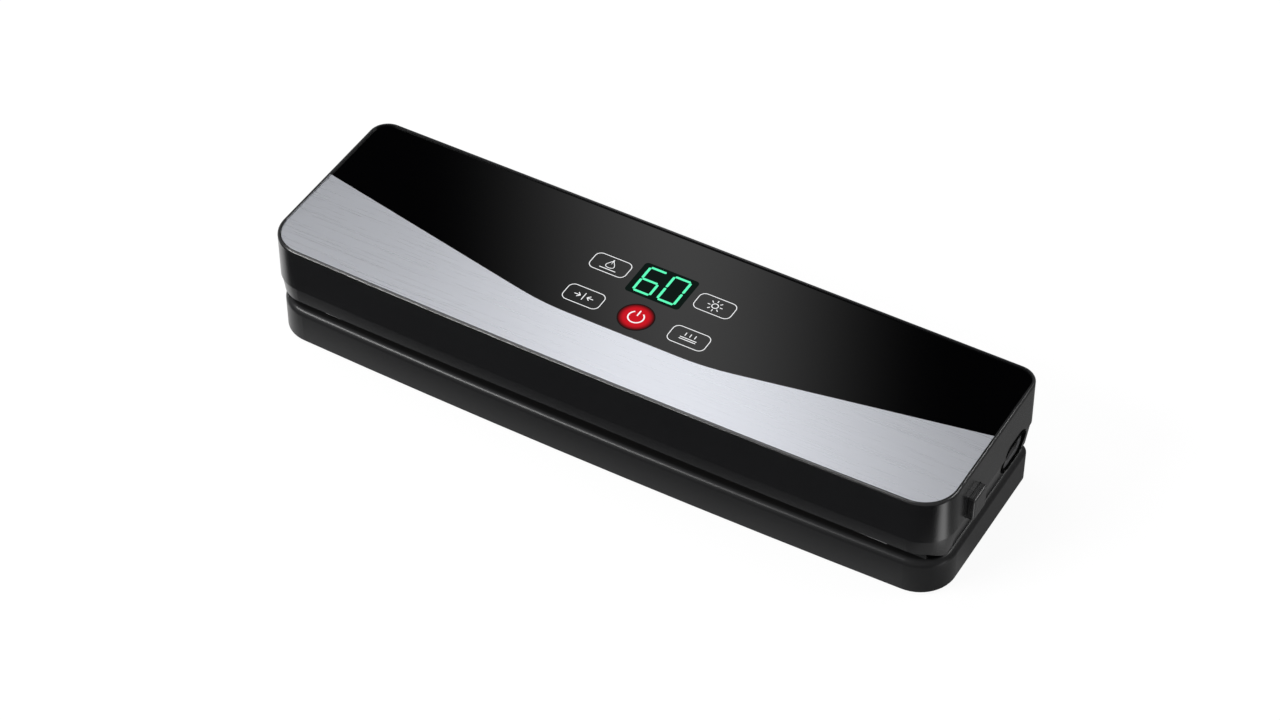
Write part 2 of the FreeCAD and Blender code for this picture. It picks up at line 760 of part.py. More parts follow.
def controls():
    """The control board under the roof with its display, touch pads and buzzer."""
    board_x, board_y = "board_length / 2 - post_radius", "board_depth / 2 - post_radius"
    places_xy = [(x, f"board_y + {y}") for x, y in corners(board_x, board_y)]
    board = box(("-board_length / 2", "board_y - board_depth / 2", "z_board - board_thick"),
                ("board_length / 2", "board_y + board_depth / 2", "z_board"))
    holes = [rod((x, y, "z_board - board_thick"), "screw_radius", "board_thick") for x, y in places_xy]
    keep("control_board", cut(board, *holes))
    keep("display_module", extrude(round_rect("flat", "z_board", ("0", "window_y"), "window_width",
                                              "window_depth", "window_corner"), "z_shelf - z_board"))
    keep("touch_pads", join(*[rod((x, y, "z_board"), "touch_pad_radius", "z_shelf - z_board")
                              for x, y in KEYS]))
    buzzer_foot = ("buzzer_x", "board_y", "z_board - board_thick - buzzer_height")
    keep("buzzer", cut(rod(buzzer_foot, "buzzer_radius", "buzzer_height"),
                       rod(buzzer_foot, "screw_radius", "buzzer_port_depth")))
    heads = []
    for x, y in places_xy:
        stem = rod((x, y, "z_board - board_thick"), "screw_radius", "board_thick + board_drop / 2")
        head = rod((x, y, "z_board - board_thick - screw_head_height"), "screw_head_radius",
                   "screw_head_height")
        heads.append(join(stem, head))
    keep("board_screws", join(*heads))


def sealing():
    """The heated bar under the head, the strip it presses on and the two gaskets."""
    half = "seal_length / 2"
    x_post = f"{half} - seal_width / 2"
    holder = box((f"-{half}", "y_seal - seal_width / 2", "z_seal + 2 * ribbon_thick"),
                 (half, "y_seal + seal_width / 2", "z_seal_roof"))
    post_holes = [rod((f"{side} * ({x_post})", "y_seal", "z_seal + 2 * ribbon_thick"), "screw_radius",
                      "under_recess + seal_channel") for name, side in ENDS]
    keep("heater_holder", cut(holder, *post_holes))
    keep("heater_ribbon", box((f"-{half}", "y_seal - ribbon_width / 2", "z_seal + ribbon_thick"),
                              (half, "y_seal + ribbon_width / 2", "z_seal + 2 * ribbon_thick")))
    keep("heater_tape", box((f"-{half}", "y_seal - seal_width / 2", "z_seal"),
                            (half, "y_seal + seal_width / 2", "z_seal + ribbon_thick")))
    for name, side in ENDS:
        post = rod((f"{side} * ({x_post})", "y_seal", "z_seal + 2 * ribbon_thick"), "screw_radius",
                   "z_floor + screw_bite - z_seal")
        nut = rod((f"{side} * ({x_post})", "y_seal", "z_floor"), "screw_head_radius",
                  "screw_head_height")
        keep("heater_terminal_" + name, join(post, nut))
    keep("press_strip", box((f"-{half}", "y_seal - seal_width / 2", "z_deck - strip_depth"),
                            (half, "y_seal + seal_width / 2", "z_deck + strip_proud")))
    keep("upper_gasket", gasket_ring("z_lid", "under_recess + seal_channel", "0"))
    keep("lower_gasket", gasket_ring("z_deck - strip_depth", "strip_depth + gasket_proud", "0"))


def trough_block(z, height, margin):
    """A block in plan like the trough, wider by a margin on every side."""
    return extrude(round_rect("flat", z, ("0", "gasket_y"), f"2 * (trough_half + {margin})",
                              f"2 * (trough_reach + {margin})", f"trough_corner + {margin}"), height)


def trough():
    """The liner of the vacuum trough, pressed into the deck and carried by its lip."""
    floor = "z_deck - trough_depth"
    bowl = trough_block(f"{floor} - trough_wall", "trough_depth + trough_wall", "trough_wall")
    lip = trough_block("z_deck - trough_lip_thick", "trough_lip_thick", "trough_wall + trough_lip")
    keep("trough_liner", cut(join(bowl, lip), trough_block(floor, "trough_depth", "0")))


def base():
    """The base moulding, the cover plate below it, feet, screws and hinge pins."""
    body = extrude(plan("z_base", "0", BASE), "base_height")
    body = round_edges(body, "shoulder_radius", level_edge("z_deck"))
    hollow = extrude(plan("z_base", "base_wall", BASE), "base_height - deck_thick")
    opening = trough_block("z_deck_under", "deck_thick", "trough_wall + clearance")
    rebate = trough_block("z_deck - trough_lip_thick", "trough_lip_thick",
                          "trough_wall + trough_lip + clearance")
    posts = [rod((x, y, "z_plate"), "boss_radius", "z_deck_under - z_plate") for x, y in BASE_SCREWS]
    pilots = [rod((x, y, "z_plate"), "screw_radius", "screw_bite") for x, y in BASE_SCREWS]
    channel = box(("-seal_length / 2", "y_seal - seal_width / 2", "z_deck - strip_depth"),
                  ("seal_length / 2", "y_seal + seal_width / 2", "z_deck"))
    slot = box(("x_latch - latch_thick - button_travel - latch_slack",
                "button_y - latch_width / 2 - latch_side_play", "z_deck_under"),
               ("x_latch + latch_nose + clearance", "button_y + latch_width / 2 + latch_side_play", "z_deck"))
    ears = []
    pockets = []
    bores = []
    for name, side in ENDS:
        spans = hinge_spans(side)
        for span in spans[1:]:
            start, length = span
            ears.append(knuckle(span, "knuckle_radius"))
            ears.append(box((start, "y_hinge - knuckle_radius", "z_deck_under"),
                            (f"{start} + {length}", "y_base_rear", "z_hinge")))
            bores.append(knuckle(span, "hinge_pin_radius"))
        pockets.append(knuckle(spans[0], "knuckle_radius + knuckle_clearance", "knuckle_clearance"))
    shell = cut(join(cut(body, hollow), *posts), opening, rebate, channel, slot, mirrored(slot), *pilots,
                gasket_ring("z_deck - strip_depth", "strip_depth", "0"), *pockets)
    keep("base_deck", cut(join(shell, *ears), *bores))

    plate = extrude(plan("z_base", "base_wall + clearance", BASE), "plate_thick")
    foot_places = corners("x_base - foot_inset", "y_base_rear - foot_setback")
    peg_holes = [rod((x, y, "z_base"), "foot_peg_radius", "plate_thick") for x, y in foot_places]
    holes = [rod((x, y, "z_base"), "screw_radius + clearance", "plate_thick") for x, y in BASE_SCREWS]
    sinks = [rod((x, y, "z_base"), "screw_head_radius + clearance", "screw_sink") for x, y in BASE_SCREWS]
    keep("base_plate", cut(plate, *peg_holes, *holes, *sinks))
    for x, y in foot_places:
        front_or_rear = "rear" if y.startswith("1") else "front"
        left_or_right = "right" if x.startswith("1") else "left"
        pad = rod((x, y, "0"), "foot_radius", "foot_height")
        peg = rod((x, y, "foot_height"), "foot_peg_radius", "plate_thick")
        keep(f"foot_{front_or_rear}_{left_or_right}", join(pad, peg))
    screws = []
    for x, y in BASE_SCREWS:
        screws.append(rod((x, y, "z_base + screw_sink"), "screw_radius",
                          "plate_thick - screw_sink + screw_bite"))
        screws.append(rod((x, y, "z_base"), "screw_head_radius", "screw_sink"))
    keep("base_screws", join(*screws))
    for name, side in ENDS:
        start = hinge_spans(side)[1][0]
        keep("hinge_pin_" + name, rod((start, "y_hinge", "z_hinge"), "hinge_pin_radius",
                                      "2 * base_knuckle + head_knuckle + 2 * knuckle_clearance", "x"))


def head_screws():
    screws = []
    for x, y in HEAD_SCREWS:
        screws.append(rod((x, y, "z_screw_seat"), "screw_radius", "z_seam + screw_bite - z_screw_seat"))
        screws.append(rod((x, y, "z_screw_seat - screw_head_height"), "screw_head_radius",
                          "screw_head_height"))
    keep("head_screws", join(*screws))


def latches():
    """Release buttons at both ends, each with its hook arm and return spring."""
    middle = ("button_y", "z_button + button_height / 2")
    flange_x = "x_wall_inner - clearance - button_flange"
    cap = extrude(round_rect("end", flange_x, middle, "button_width", "button_height", "button_corner"),
                  f"x_button - ({flange_x})")
    cap = round_edges(cap, "button_round",
                      lambda edge: edge.BoundBox.XMin > number("x_button") - TOLERANCE)
    flange = extrude(round_rect("end", flange_x, middle, "button_width + 2 * button_flange",
                                "button_height + 2 * button_flange", "button_corner"), "button_flange")
    side_low, side_high = "button_y - latch_width / 2", "button_y + latch_width / 2"
    arm = box(("x_latch - latch_thick", side_low, "z_button + latch_thick"),
              (flange_x, side_high, "z_button + button_height - latch_thick"))
    leg = box(("x_latch - latch_thick", side_low, "z_deck_under - 2 * latch_thick"),
              ("x_latch", side_high, "z_button + button_height - latch_thick"))
    nose = box(("x_latch - clearance", side_low, "z_deck_under - 2 * latch_thick"),
               ("x_latch + latch_nose", side_high, "z_deck_under - latch_thick + clearance"))
    right = join(cap, flange, arm, leg, nose)
    keep("release_button_right", right)
    keep("release_button_left", mirrored(right))


def coil(start, radius, wire, length, turns):
    """A compression spring along X: quarter turn arcs joined into one wire and swept."""
    pitch = (length - 2 * wire) / turns
    steps = int(turns * 4)

    def spot(quarters):
        angle = quarters * math.pi / 2
        return start + Vector(wire + pitch * quarters / 4, radius * math.cos(angle), radius * math.sin(angle))

    edges = [Part.Arc(spot(i), spot(i + 0.5), spot(i + 1)).toShape() for i in range(steps)]
    path = Part.Wire(edges)
    ring = Part.Circle(spot(0), path.Edges[0].tangentAt(path.Edges[0].FirstParameter), wire / 2)
    return path.makePipeShell([Part.Wire([ring.toShape()])], True, False)


def springs():
    wire, radius = number("spring_wire"), number("spring_radius")
    rest = number("spring_length")
    for name, side in ENDS:
        x = number("x_latch - latch_thick - spring_length") if side > 0 else -number("x_latch - latch_thick")
        start = Vector(x, number("button_y"), number("z_button + button_height / 2"))
        feature("latch_spring_" + name, coil(start, radius, wire, rest, number("spring_turns")))


def inlet():
    """The recessed power inlet on the right end: oval bezel, socket and two pins."""
    bezel = cut(inlet_oval("x_socket", "inlet_recess + inlet_proud", "clearance"),
                inlet_oval("x_socket", "inlet_recess + inlet_proud", "inlet_lip"))
    face = "x_inlet + inlet_proud"
    keep("inlet_bezel", round_edges(bezel, "inlet_round",
                                    lambda edge: edge.BoundBox.XMin > number(face) - TOLERANCE))
    body = inlet_oval("x_socket - socket_depth - socket_back", "socket_depth + socket_back", "clearance")
    hole = extrude(round_rect("end", "x_socket - socket_depth", ("inlet_y", "z_inlet"), "socket_length",
                              "socket_height", "socket_height / 2 - oval_flat"), "socket_depth")
    pins = []
    bores = []
    for side in (-1, 1):
        tail = ("x_socket - socket_depth - socket_back - inlet_tab",
                f"inlet_y + {side} * inlet_pin_pitch / 2", "z_inlet")
        pins.append(rod(tail, "inlet_pin_radius", "inlet_tab + socket_back + inlet_pin_length", "x"))
        bores.append(rod(tail, "inlet_pin_radius", "inlet_tab + socket_back + clearance", "x"))
    keep("power_inlet", cut(body, hole, *bores))
    keep("inlet_pins", join(*pins))


def pump():
    """Motor, saddle, crank block, diaphragm, cover and crank of the vacuum pump."""
    back = "pump_x - motor_length / 2"
    can = rod((back, "pump_y", "z_pump"), "motor_radius", "motor_length", "x")
    bearing = rod(("x_block - screw_bite", "pump_y", "z_pump"), "shaft_radius + pin_clearance",
                  "screw_bite", "x")
    keep("pump_motor", cut(can, bearing))
    saddle = box((f"{back} + saddle_wall", "pump_y - motor_radius - saddle_wall", "z_floor"),
                 ("x_block - saddle_wall", "pump_y + motor_radius + saddle_wall", "z_floor + saddle_height"))
    keep("pump_saddle", cut(saddle, rod((back, "pump_y", "z_pump"), "motor_radius", "motor_length", "x")))
    half = "pump_block / 2"
    block = box(("x_block", f"pump_y - {half}", "z_floor"),
                ("x_diaphragm", f"pump_y + {half}", f"z_pump + {half}"))
    chamber = rod(("x_block + lid_wall", "pump_y", "z_pump"), "pump_chamber_radius", "pump_block_length",
                  "x")
    eye = rod(("x_block", "pump_y", "z_pump"), "shaft_radius + clearance", "lid_wall", "x")
    keep("pump_block_housing", cut(block, chamber, eye))
    keep("pump_diaphragm", box(("x_diaphragm", f"pump_y - {half}", "z_floor"),
                               ("x_cover", f"pump_y + {half}", f"z_pump + {half}")))
    barbs = [rod(("x_cover + cover_thick", f"pump_y + {side} * barb_offset", "z_pump"), "barb_radius",
                 "barb_length", "x") for side in (-1, 1)]
    lid = box(("x_cover", f"pump_y - {half}", "z_floor"),
              ("x_cover + cover_thick", f"pump_y + {half}", f"z_pump + {half}"))
    keep("pump_cover", join(lid, *barbs))
    wheel_x = "x_block + lid_wall + crank_throw"
    wheel = rod((wheel_x, "pump_y", "z_pump"), "crank_radius", "crank_thick", "x")
    shaft = rod(("x_block - screw_bite + clearance", "pump_y", "z_pump"), "shaft_radius",
                "screw_bite + lid_wall + crank_throw", "x")
    throw = rod((f"{wheel_x} + crank_thick", "pump_y", "z_pump + crank_throw"), "2 * shaft_radius",
                f"x_diaphragm - clearance - ({wheel_x}) - crank_thick", "x")
    keep("pump_crank", join(wheel, shaft, throw))
    port_foot = ("port_x", "port_y", "z_under")
    port_length = "floor_thick + saddle_wall + barb_length"
    port = join(rod(port_foot, "barb_radius", port_length),
                rod(("port_x", "port_y", "z_floor"), "2 * barb_radius", "saddle_wall"))
    keep("suction_port", cut(port, rod(port_foot, "barb_bore", port_length)))
    valve = box(("valve_x", "valve_y - valve_size / 2", "z_floor"),
                ("valve_x + valve_size", "valve_y + valve_size / 2", "z_floor + valve_height"))
    keep("release_valve", join(valve, rod(("valve_x + valve_size", "valve_y", "z_valve"), "barb_radius",
                                          "barb_length", "x")))


def power():
    """The power board with its transformer, capacitor and relay."""
    low = ("power_x - power_length / 2", "power_y - power_depth / 2", "z_power")
    high = ("power_x + power_length / 2", "power_y + power_depth / 2", "z_power + board_thick")
    pegs = [rod((f"power_x + {x}", f"power_y + {y}", "z_power"), "screw_radius", "board_thick")
            for x, y in corners("power_length / 2 - post_radius", "power_depth / 2 - post_radius")]
    keep("power_board", cut(box(low, high), *pegs))
    top = "z_power + board_thick"
    core = box(("power_x - core_length / 2", "power_y - core_depth / 2", top),
               ("power_x + core_length / 2", "power_y + core_depth / 2", f"{top} + core_height"))
    winding = rod(("power_x", "power_y - winding_depth / 2", f"{top} + core_height / 2"),
                  "core_height / 2", "winding_depth", "y")
    keep("transformer", join(core, winding))
    keep("capacitor", rod(("power_x - power_length / 2 + capacitor_margin",
                           "power_y + power_depth / 2 - capacitor_margin", top),
                          "capacitor_radius", "capacitor_height"))
    right, front = "power_x + power_length / 2 - relay_margin", "power_y - power_depth / 2 + relay_setback"
    keep("relay", box((f"{right} - relay_width", front, top),
                      (right, f"{front} + relay_depth", f"{top} + relay_height")))


def route(points):
    """Straight runs joined by tangent arcs as large as the runs allow."""
    edges = []
    here = points[0]
    for i in range(1, len(points) - 1):
        before, corner, after = points[i - 1], points[i], points[i + 1]
        inward = (before - corner).normalize()
        outward = (after - corner).normalize()
        half = math.pi / 2 - inward.getAngle(outward) / 2
        reach = ARC_SHARE * min((before - corner).Length, (after - corner).Length)
        radius = reach / math.tan(half)
        start, end = corner + inward * reach, corner + outward * reach
        bisector = (inward + outward).normalize()
        middle = corner + bisector * (radius / math.cos(half) - radius)
        edges.append(Part.LineSegment(here, start).toShape())
        edges.append(Part.Arc(start, middle, end).toShape())
        here = end
    edges.append(Part.LineSegment(here, points[-1]).toShape())
    return Part.Wire(edges)


def tube(points, radius):
    """A round tube along a route."""
    path = route(points)
    heading = points[1] - points[0]
    ring = Part.Wire([Part.Circle(points[0], heading, radius).toShape()])
    return path.makePipeShell([ring], True, False)


def spot(x, y, z):
    return Vector(number(x), number(y), number(z))


def hoses():
    """The vacuum hose from the port to the pump, and the vent hose to the release valve."""
    radius = number("hose_radius")
    rise = "z_floor + saddle_wall"
    suction = [spot("port_x", "port_y", rise), spot("port_x", "port_y", "z_pump"),
               spot("x_cover + cover_thick", "port_y", "z_pump")]
    feature("vacuum_hose", tube(suction, radius).cut(tube(suction, number("barb_radius"))))
    lane = "pump_y - barb_offset"
    loop = "x_barb + 4 * hose_radius"
    vent = [spot("x_cover + cover_thick", lane, "z_pump"), spot(loop, lane, "z_pump"),
            spot(loop, "valve_y", "z_valve"), spot("valve_x + valve_size", "valve_y", "z_valve")]
    feature("vent_hose", tube(vent, radius).cut(tube(vent, number("barb_radius"))))


def leads():
    """Insulated leads from the inlet, the sealing bar and the motor to the power board."""
    wire = number("lead_radius")
    top = "z_power + board_thick"
    pad_x = "power_x + power_length / 2 - post_radius - lead_pad"
    tab = "x_socket - socket_depth - socket_back - inlet_tab"
    mains = []
    motor = []
    for side in (-1, 1):
        y = f"inlet_y + {side} * inlet_pin_pitch / 2"
        pad_y = f"power_y + {side} * lead_pad + power_depth / 4"
        lane = f"z_board - 2 * lead_step + {side} * lead_apart"
        mains.append(tube([spot(tab, y, "z_inlet"), spot(f"{tab} - lead_step", y, "z_inlet"),
                           spot(f"{tab} - 2 * lead_step", y, lane), spot("x_block", "inlet_y", lane),
                           spot("0", "inlet_y", lane), spot(pad_x, pad_y, lane), spot(pad_x, pad_y, top)],
                          wire))
        y = f"pump_y + {side} * lead_pad"
        back = "pump_x - motor_length / 2"
        pad_y = f"power_y + {side} * lead_pad"
        motor.append(tube([spot(back, y, "z_pump"), spot(f"{back} - 2 * lead_step", y, "z_pump"),
                           spot(pad_x, pad_y, "z_pump"), spot(pad_x, pad_y, top)], wire))
    heater = []
    for name, side in ENDS:
        x = f"{side} * (seal_length / 2 - seal_width / 2)"
        pad_x = f"power_x + {side} * 2 * lead_pad"
        pad_y = "power_y - power_depth / 2 + lead_pad"
        lane = "z_step + 2 * lead_step"
        post_top = "z_floor + screw_bite + 2 * clearance"
        heater.append(tube([spot(x, "y_seal", post_top), spot(x, "y_seal", lane), spot(pad_x, "y_seal", lane),
                            spot(pad_x, pad_y, "z_step + lead_step"), spot(pad_x, pad_y, top)], wire))
    feature("mains_leads", Part.Compound(mains))
    feature("motor_leads", Part.Compound(motor))
    feature("heater_leads", Part.Compound(heater))


upper_shell()
lower_shell()
panels()
controls()
sealing()
trough()
base()
head_screws()
latches()
springs()
inlet()
pump()
power()
hoses()
leads()
doc.recompute()

for thing in doc.Objects:
    if "Invalid" in thing.State or "Error" in thing.State:
        raise RuntimeError(f"{thing.Name} ({thing.Label}) failed: {thing.State}")
os.makedirs("parts", exist_ok=True)
for name, piece in NODES.items():
    shape = piece.Shape
    if shape.isNull() or not shape.isValid() or not shape.Solids:
        raise RuntimeError(f"{name} has no valid solid")
    shape.exportStep(f"parts/{name}.step")
    print(name, len(shape.Solids), "solids", round(shape.Volume), "mm3")
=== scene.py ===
"""Vacuum sealer: finishes, printed keys, lit display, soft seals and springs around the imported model."""
import bpy
import json
import math
from mathutils import Matrix, Vector


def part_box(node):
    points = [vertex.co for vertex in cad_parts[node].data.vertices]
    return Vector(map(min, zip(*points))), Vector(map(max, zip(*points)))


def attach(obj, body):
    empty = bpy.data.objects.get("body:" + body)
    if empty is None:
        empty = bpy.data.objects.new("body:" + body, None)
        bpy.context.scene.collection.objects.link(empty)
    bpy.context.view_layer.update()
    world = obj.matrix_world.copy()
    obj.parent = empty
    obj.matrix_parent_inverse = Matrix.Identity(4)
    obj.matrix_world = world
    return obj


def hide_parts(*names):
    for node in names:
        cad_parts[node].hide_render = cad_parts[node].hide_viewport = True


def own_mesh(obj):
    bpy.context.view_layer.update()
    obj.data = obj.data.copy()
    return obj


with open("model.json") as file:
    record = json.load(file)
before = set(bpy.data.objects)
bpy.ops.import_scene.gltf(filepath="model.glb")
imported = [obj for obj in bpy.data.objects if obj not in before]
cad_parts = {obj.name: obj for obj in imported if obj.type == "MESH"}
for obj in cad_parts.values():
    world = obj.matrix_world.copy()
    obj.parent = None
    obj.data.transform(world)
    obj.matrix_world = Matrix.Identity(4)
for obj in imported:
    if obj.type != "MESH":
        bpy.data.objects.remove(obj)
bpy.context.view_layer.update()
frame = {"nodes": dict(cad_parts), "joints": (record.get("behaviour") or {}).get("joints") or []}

MM = 0.001
CLOSE = MM / 100

# Turn that stands a level piece up, and the angle below which neighbouring faces are shaded as one
UPRIGHT = math.pi / 2
SMOOTH_ANGLE = math.radians(40)

# Printed keys
PRINT_THICK = 0.06 * MM
STROKE_ROUND_SHARE = 0.45
KEY_WIDTH = 20.4 * MM
KEY_DEPTH = 11.8 * MM
KEY_CORNER = 3.4 * MM
KEY_LINE = 0.38 * MM
PAD_RADIUS = 3.5 * MM
POWER_RADIUS = 9.3 * MM
POWER_LIT_RADIUS = 0.62 * POWER_RADIUS
POWER_RING_RADIUS = 3.95 * MM
POWER_STROKE_RISE = 0.75 * POWER_RING_RADIUS
POWER_LINE = 0.7 * MM
POWER_GAP = math.radians(70)

# Signs on the keys: each REACH, RISE or LEVEL is measured from the middle of the key
ICON_LINE = 0.42 * MM
SEAM_LENGTH = 9.0 * MM
DROP_RADIUS = 2.5 * MM
DROP_FULLNESS = 1.5
DROP_STRETCH = 1.25
DROP_LINE = 0.8 * ICON_LINE
DROP_RISE = 0.9 * MM
DROP_SEAM_LEVEL = -3.24 * MM
SUN_RADIUS = 1.6 * MM
RAYS = 8
RAY_LENGTH = 1.5 * MM
RAY_REACH = 3.3 * MM
STOP_LENGTH = 5.2 * MM
ARROW_LENGTH = 3.4 * MM
ARROW_REACH = 3.5 * MM
BARB_LENGTH = 2.3 * MM
BARB_REACH = 2.6 * MM
BARB_RISE = 0.72 * MM
HEAT_SEAM_LEVELS = (-2.0 * MM, -0.8 * MM)
HEAT_LENGTH = 2.3 * MM
HEAT_PITCH = 2.6 * MM
HEAT_RISE = 1.7 * MM

# Numerals of the display
DIGIT_WIDTH = 10.4 * MM
DIGIT_HEIGHT = 19.0 * MM
DIGIT_PITCH = 13.4 * MM
DIGIT_SLANT = math.tan(math.radians(5))
BAR_THICK = 1.3 * MM
BAR_GAP = 0.75 * MM

# Near-black ring round the power inlet, shaped as a rubber grommet and leaning with the end wall: painted
# shade for the shadowed rim of the inlet's recess. Its ends are all but half circles.
SHADE_GROMMET_LENGTH = 26.0 * MM
SHADE_GROMMET_HEIGHT = 17.0 * MM
SHADE_GROMMET_CORNER = 0.499 * SHADE_GROMMET_HEIGHT
SHADE_GROMMET_WIDTH = 1.7 * MM
SHADE_GROMMET_THICK = 0.45 * MM
SHADE_GROMMET_SINK = 0.25 * MM
SHADE_GROMMET_LEAN = math.radians(6)

# Return springs of the release buttons
SPRING_WIRE = 0.6 * MM
SPRING_TURNS = 5
SPRING_STEPS = 24
SPRING_SIDES = 12

# Soft seals
GASKET_WIDTH = 5.0 * MM
GASKET_CORNER = 14.0 * MM
GASKET_ROUND = 1.1 * MM
STRIP_ROUND = 0.7 * MM

# Level of the base's deck, just below the lip of the trough's liner, above which the base is rougher and
# painted near black as painted shade of the slot under the lid, and the height over which the finish changes
# there
DECK_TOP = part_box("trough_liner")[1].z - 0.15 * MM
DECK_EDGE = 0.1 * MM

# Camera that stands where the photograph was taken from
CAMERA_PLACE = Vector((0.60505, -1.05844, 1.21047))
CAMERA_AIM = Vector((0.00106, -0.00573, 0.03198))
CAMERA_LENS = 98.35
CAMERA_SENSOR = 36.0
CAMERA_REACH = 100
CAMERA_ROLL = math.radians(0.12)

# Studio, in metres and watts
WHITE = (1, 1, 1)
FLOOR_SIZE = 30
FLOOR_GLOW = 0.92
SKY_STRENGTH = 0.5

# Seen from the camera, the panel mirrors what stands towards PANEL_MIRROR, and PANEL_ASIDE runs across it
PANEL_MIDDLE = Vector((0, 0, 0.06))
PANEL_MIRROR = Vector((-0.357, 0.622, 0.697))
PANEL_ASIDE = Vector((0.867, 0.498, 0))
PANEL_FLAG_AWAY = 2.6
PANEL_SLIT_AWAY = 2.55
PANEL_SLIT_ASIDE = 0.052

# Cards on the floor lie lower than the base, one layer above another, and glow evenly
CARD_HEIGHT = 0.7 * MM
CARD_FADE = 0.02


# Shader building

# A Wave texture of scale 1 has about this many waves in a unit
WAVES_PER_UNIT = 3


class Value:
    """One output of a shader node. Arithmetic on it adds Math nodes."""

    def __init__(self, finish, socket):
        self.finish = finish
        self.socket = socket

    def math(self, operation, first, second=0.0):
        return self.finish.node("Math", {"operation": operation}, {0: first, 1: second})

    def __add__(self, other):
        return self.math("ADD", self, other)

    def __radd__(self, other):
        return self.math("ADD", other, self)

    def __sub__(self, other):
        return self.math("SUBTRACT", self, other)

    def __rsub__(self, other):
        return self.math("SUBTRACT", other, self)

    def __mul__(self, other):
        return self.math("MULTIPLY", self, other)

    def __rmul__(self, other):
        return self.math("MULTIPLY", other, self)


class Finish:
    """A procedural surface: one Principled shader and the nodes that feed it."""

    def __init__(self, name, **constants):
        self.material = bpy.data.materials.new(name)
        self.material.use_nodes = True
        self.tree = self.material.node_tree
        self.shader = self.tree.nodes["Principled BSDF"]
        self.feed(**constants)

    def put(self, socket, value):
        """Link a value to a socket, or set a plain number or colour on it."""
        if isinstance(value, Value):
            self.tree.links.new(value.socket, socket)
        elif hasattr(value, "__len__") and len(value) == 3 and socket.type == "RGBA":
            socket.default_value = (*value, 1.0)
        else:
            socket.default_value = value

    def node(self, kind, settings=None, sockets=None, out=0):
        """Add a node: its settings first, then its sockets, and give one of its outputs."""
        made = self.tree.nodes.new("ShaderNode" + kind)
        for key, value in (settings or {}).items():
            setattr(made, key, value)
        for key, value in (sockets or {}).items():
            self.put(made.inputs[key], value)
        return Value(self, made.outputs[out])

    def feed(self, **values):
        """Set or link the Principled shader's sockets."""
        for key, value in values.items():
            self.put(self.shader.inputs[key.replace("_", " ")], value)

    def show(self, shader):
        """Put another shader in the Principled one's place."""
        self.put(self.tree.nodes["Material Output"].inputs["Surface"], shader)

    def place(self, scale=(1, 1, 1), centre=(0, 0, 0)):
        """Object coordinates in metres, from a centre, stretched."""
        spot = self.node("TexCoord", out="Object")
        away = tuple(-c * s for c, s in zip(centre, scale))
        return self.node("Mapping", None, {"Vector": spot, "Scale": scale, "Location": away})

    def noise(self, scale, detail=3.0, stretch=(1, 1, 1)):
        return self.node("TexNoise", None, {"Vector": self.place(stretch), "Scale": scale, "Detail": detail})

    def falling(self, value, start, end):
        """A mask that is 1 up to a start, falls smoothly and is 0 from an end on."""
        return self.node("MapRange", {"interpolation_type": "SMOOTHSTEP"},
                         {"Value": value, "From Min": start, "From Max": end, "To Min": 1.0, "To Max": 0.0})

    def along(self, spot, axis):
        return self.node("SeparateXYZ", None, {"Vector": spot}, out=axis)

    def from_middle(self, spot, axis):
        return self.node("Math", {"operation": "ABSOLUTE"}, {0: self.along(spot, axis)})

    def between(self, mask, low, high):
        """A colour between two, by a mask."""
        return self.node("Mix", {"data_type": "RGBA"}, {"Factor": mask, 6: low, 7: high}, out=2)

    def shades(self, mask, colour, darkest, lightest):
        """One colour between a darker and a lighter shade, by a mask."""
        return self.between(mask, scaled(colour, darkest), scaled(colour, lightest))

    def bump(self, height, strength, depth):
        return self.node("Bump", None, {"Height": height, "Strength": strength, "Distance": depth})


def scaled(colour, factor):
    return tuple(channel * factor for channel in colour)


def moulded_plastic(name, colour, roughness, level, grain=0.35 * MM, grain_depth=0.012 * MM,
                    matt_and_shade_above=None):
    """Satin moulding with a fine spark-eroded grain and faint flow clouds; rougher above a level, and
    painted near black there as painted shade.
    """
    made = Finish(name, Specular_IOR_Level=level)
    clouds = made.noise(14.0, detail=2.0)
    grains = made.noise(1 / grain, detail=2.0)
    tint = made.shades(clouds, colour, 0.88, 1.12)
    rough = roughness - 0.05 + 0.06 * grains + 0.04 * clouds
    if matt_and_shade_above is not None:
        # Above the level the colour falls to near black: painted shade for the dark slot under the closed
        # lid, with a rougher finish
        matt_and_painted_shade = 1.0 - made.falling(made.along(made.place(), "Z"), matt_and_shade_above - DECK_EDGE, matt_and_shade_above)
        tint = made.between(matt_and_painted_shade, tint, scaled(colour, 0.03))
        rough = rough + 0.5 * matt_and_painted_shade
    made.feed(Base_Color=tint, Roughness=rough, Normal=made.bump(grains, 0.35, grain_depth))
    return made.material


def gloss_panel(name, colour, roughness, level):
    """Hard gloss acrylic with hair-fine polishing marks in its colour and roughness."""
    made = Finish(name, Specular_IOR_Level=level)
    marks = made.noise(60.0, detail=4.0, stretch=(1, 9, 1))
    made.feed(Base_Color=made.shades(marks, colour, 0.9, 1.1), Roughness=roughness + 0.02 * marks)
    return made.material


def brushed_steel(name, dark, light, roughness, depth=0.02 * MM):
    """Steel brushed along X: long hair lines in colour, roughness and height."""
    made = Finish(name, Metallic=1.0)
    hair = made.noise(1.0, detail=4.0, stretch=(30, 4600, 4600))
    bands = made.noise(1.0, detail=2.0, stretch=(9, 520, 520))
    lines = 0.65 * hair + 0.35 * bands
    made.feed(Base_Color=made.between(lines, dark, light), Roughness=roughness - 0.03 + 0.06 * lines,
              Normal=made.bump(hair, 0.045, depth))
    return made.material


def plated_metal(name, colour, roughness):
    """Plated or turned metal with small scuffs."""
    made = Finish(name, Metallic=1.0)
    scuffs = made.noise(900.0)
    made.feed(Base_Color=made.shades(scuffs, colour, 0.85, 1.1), Roughness=roughness - 0.06 + 0.14 * scuffs)
    return made.material


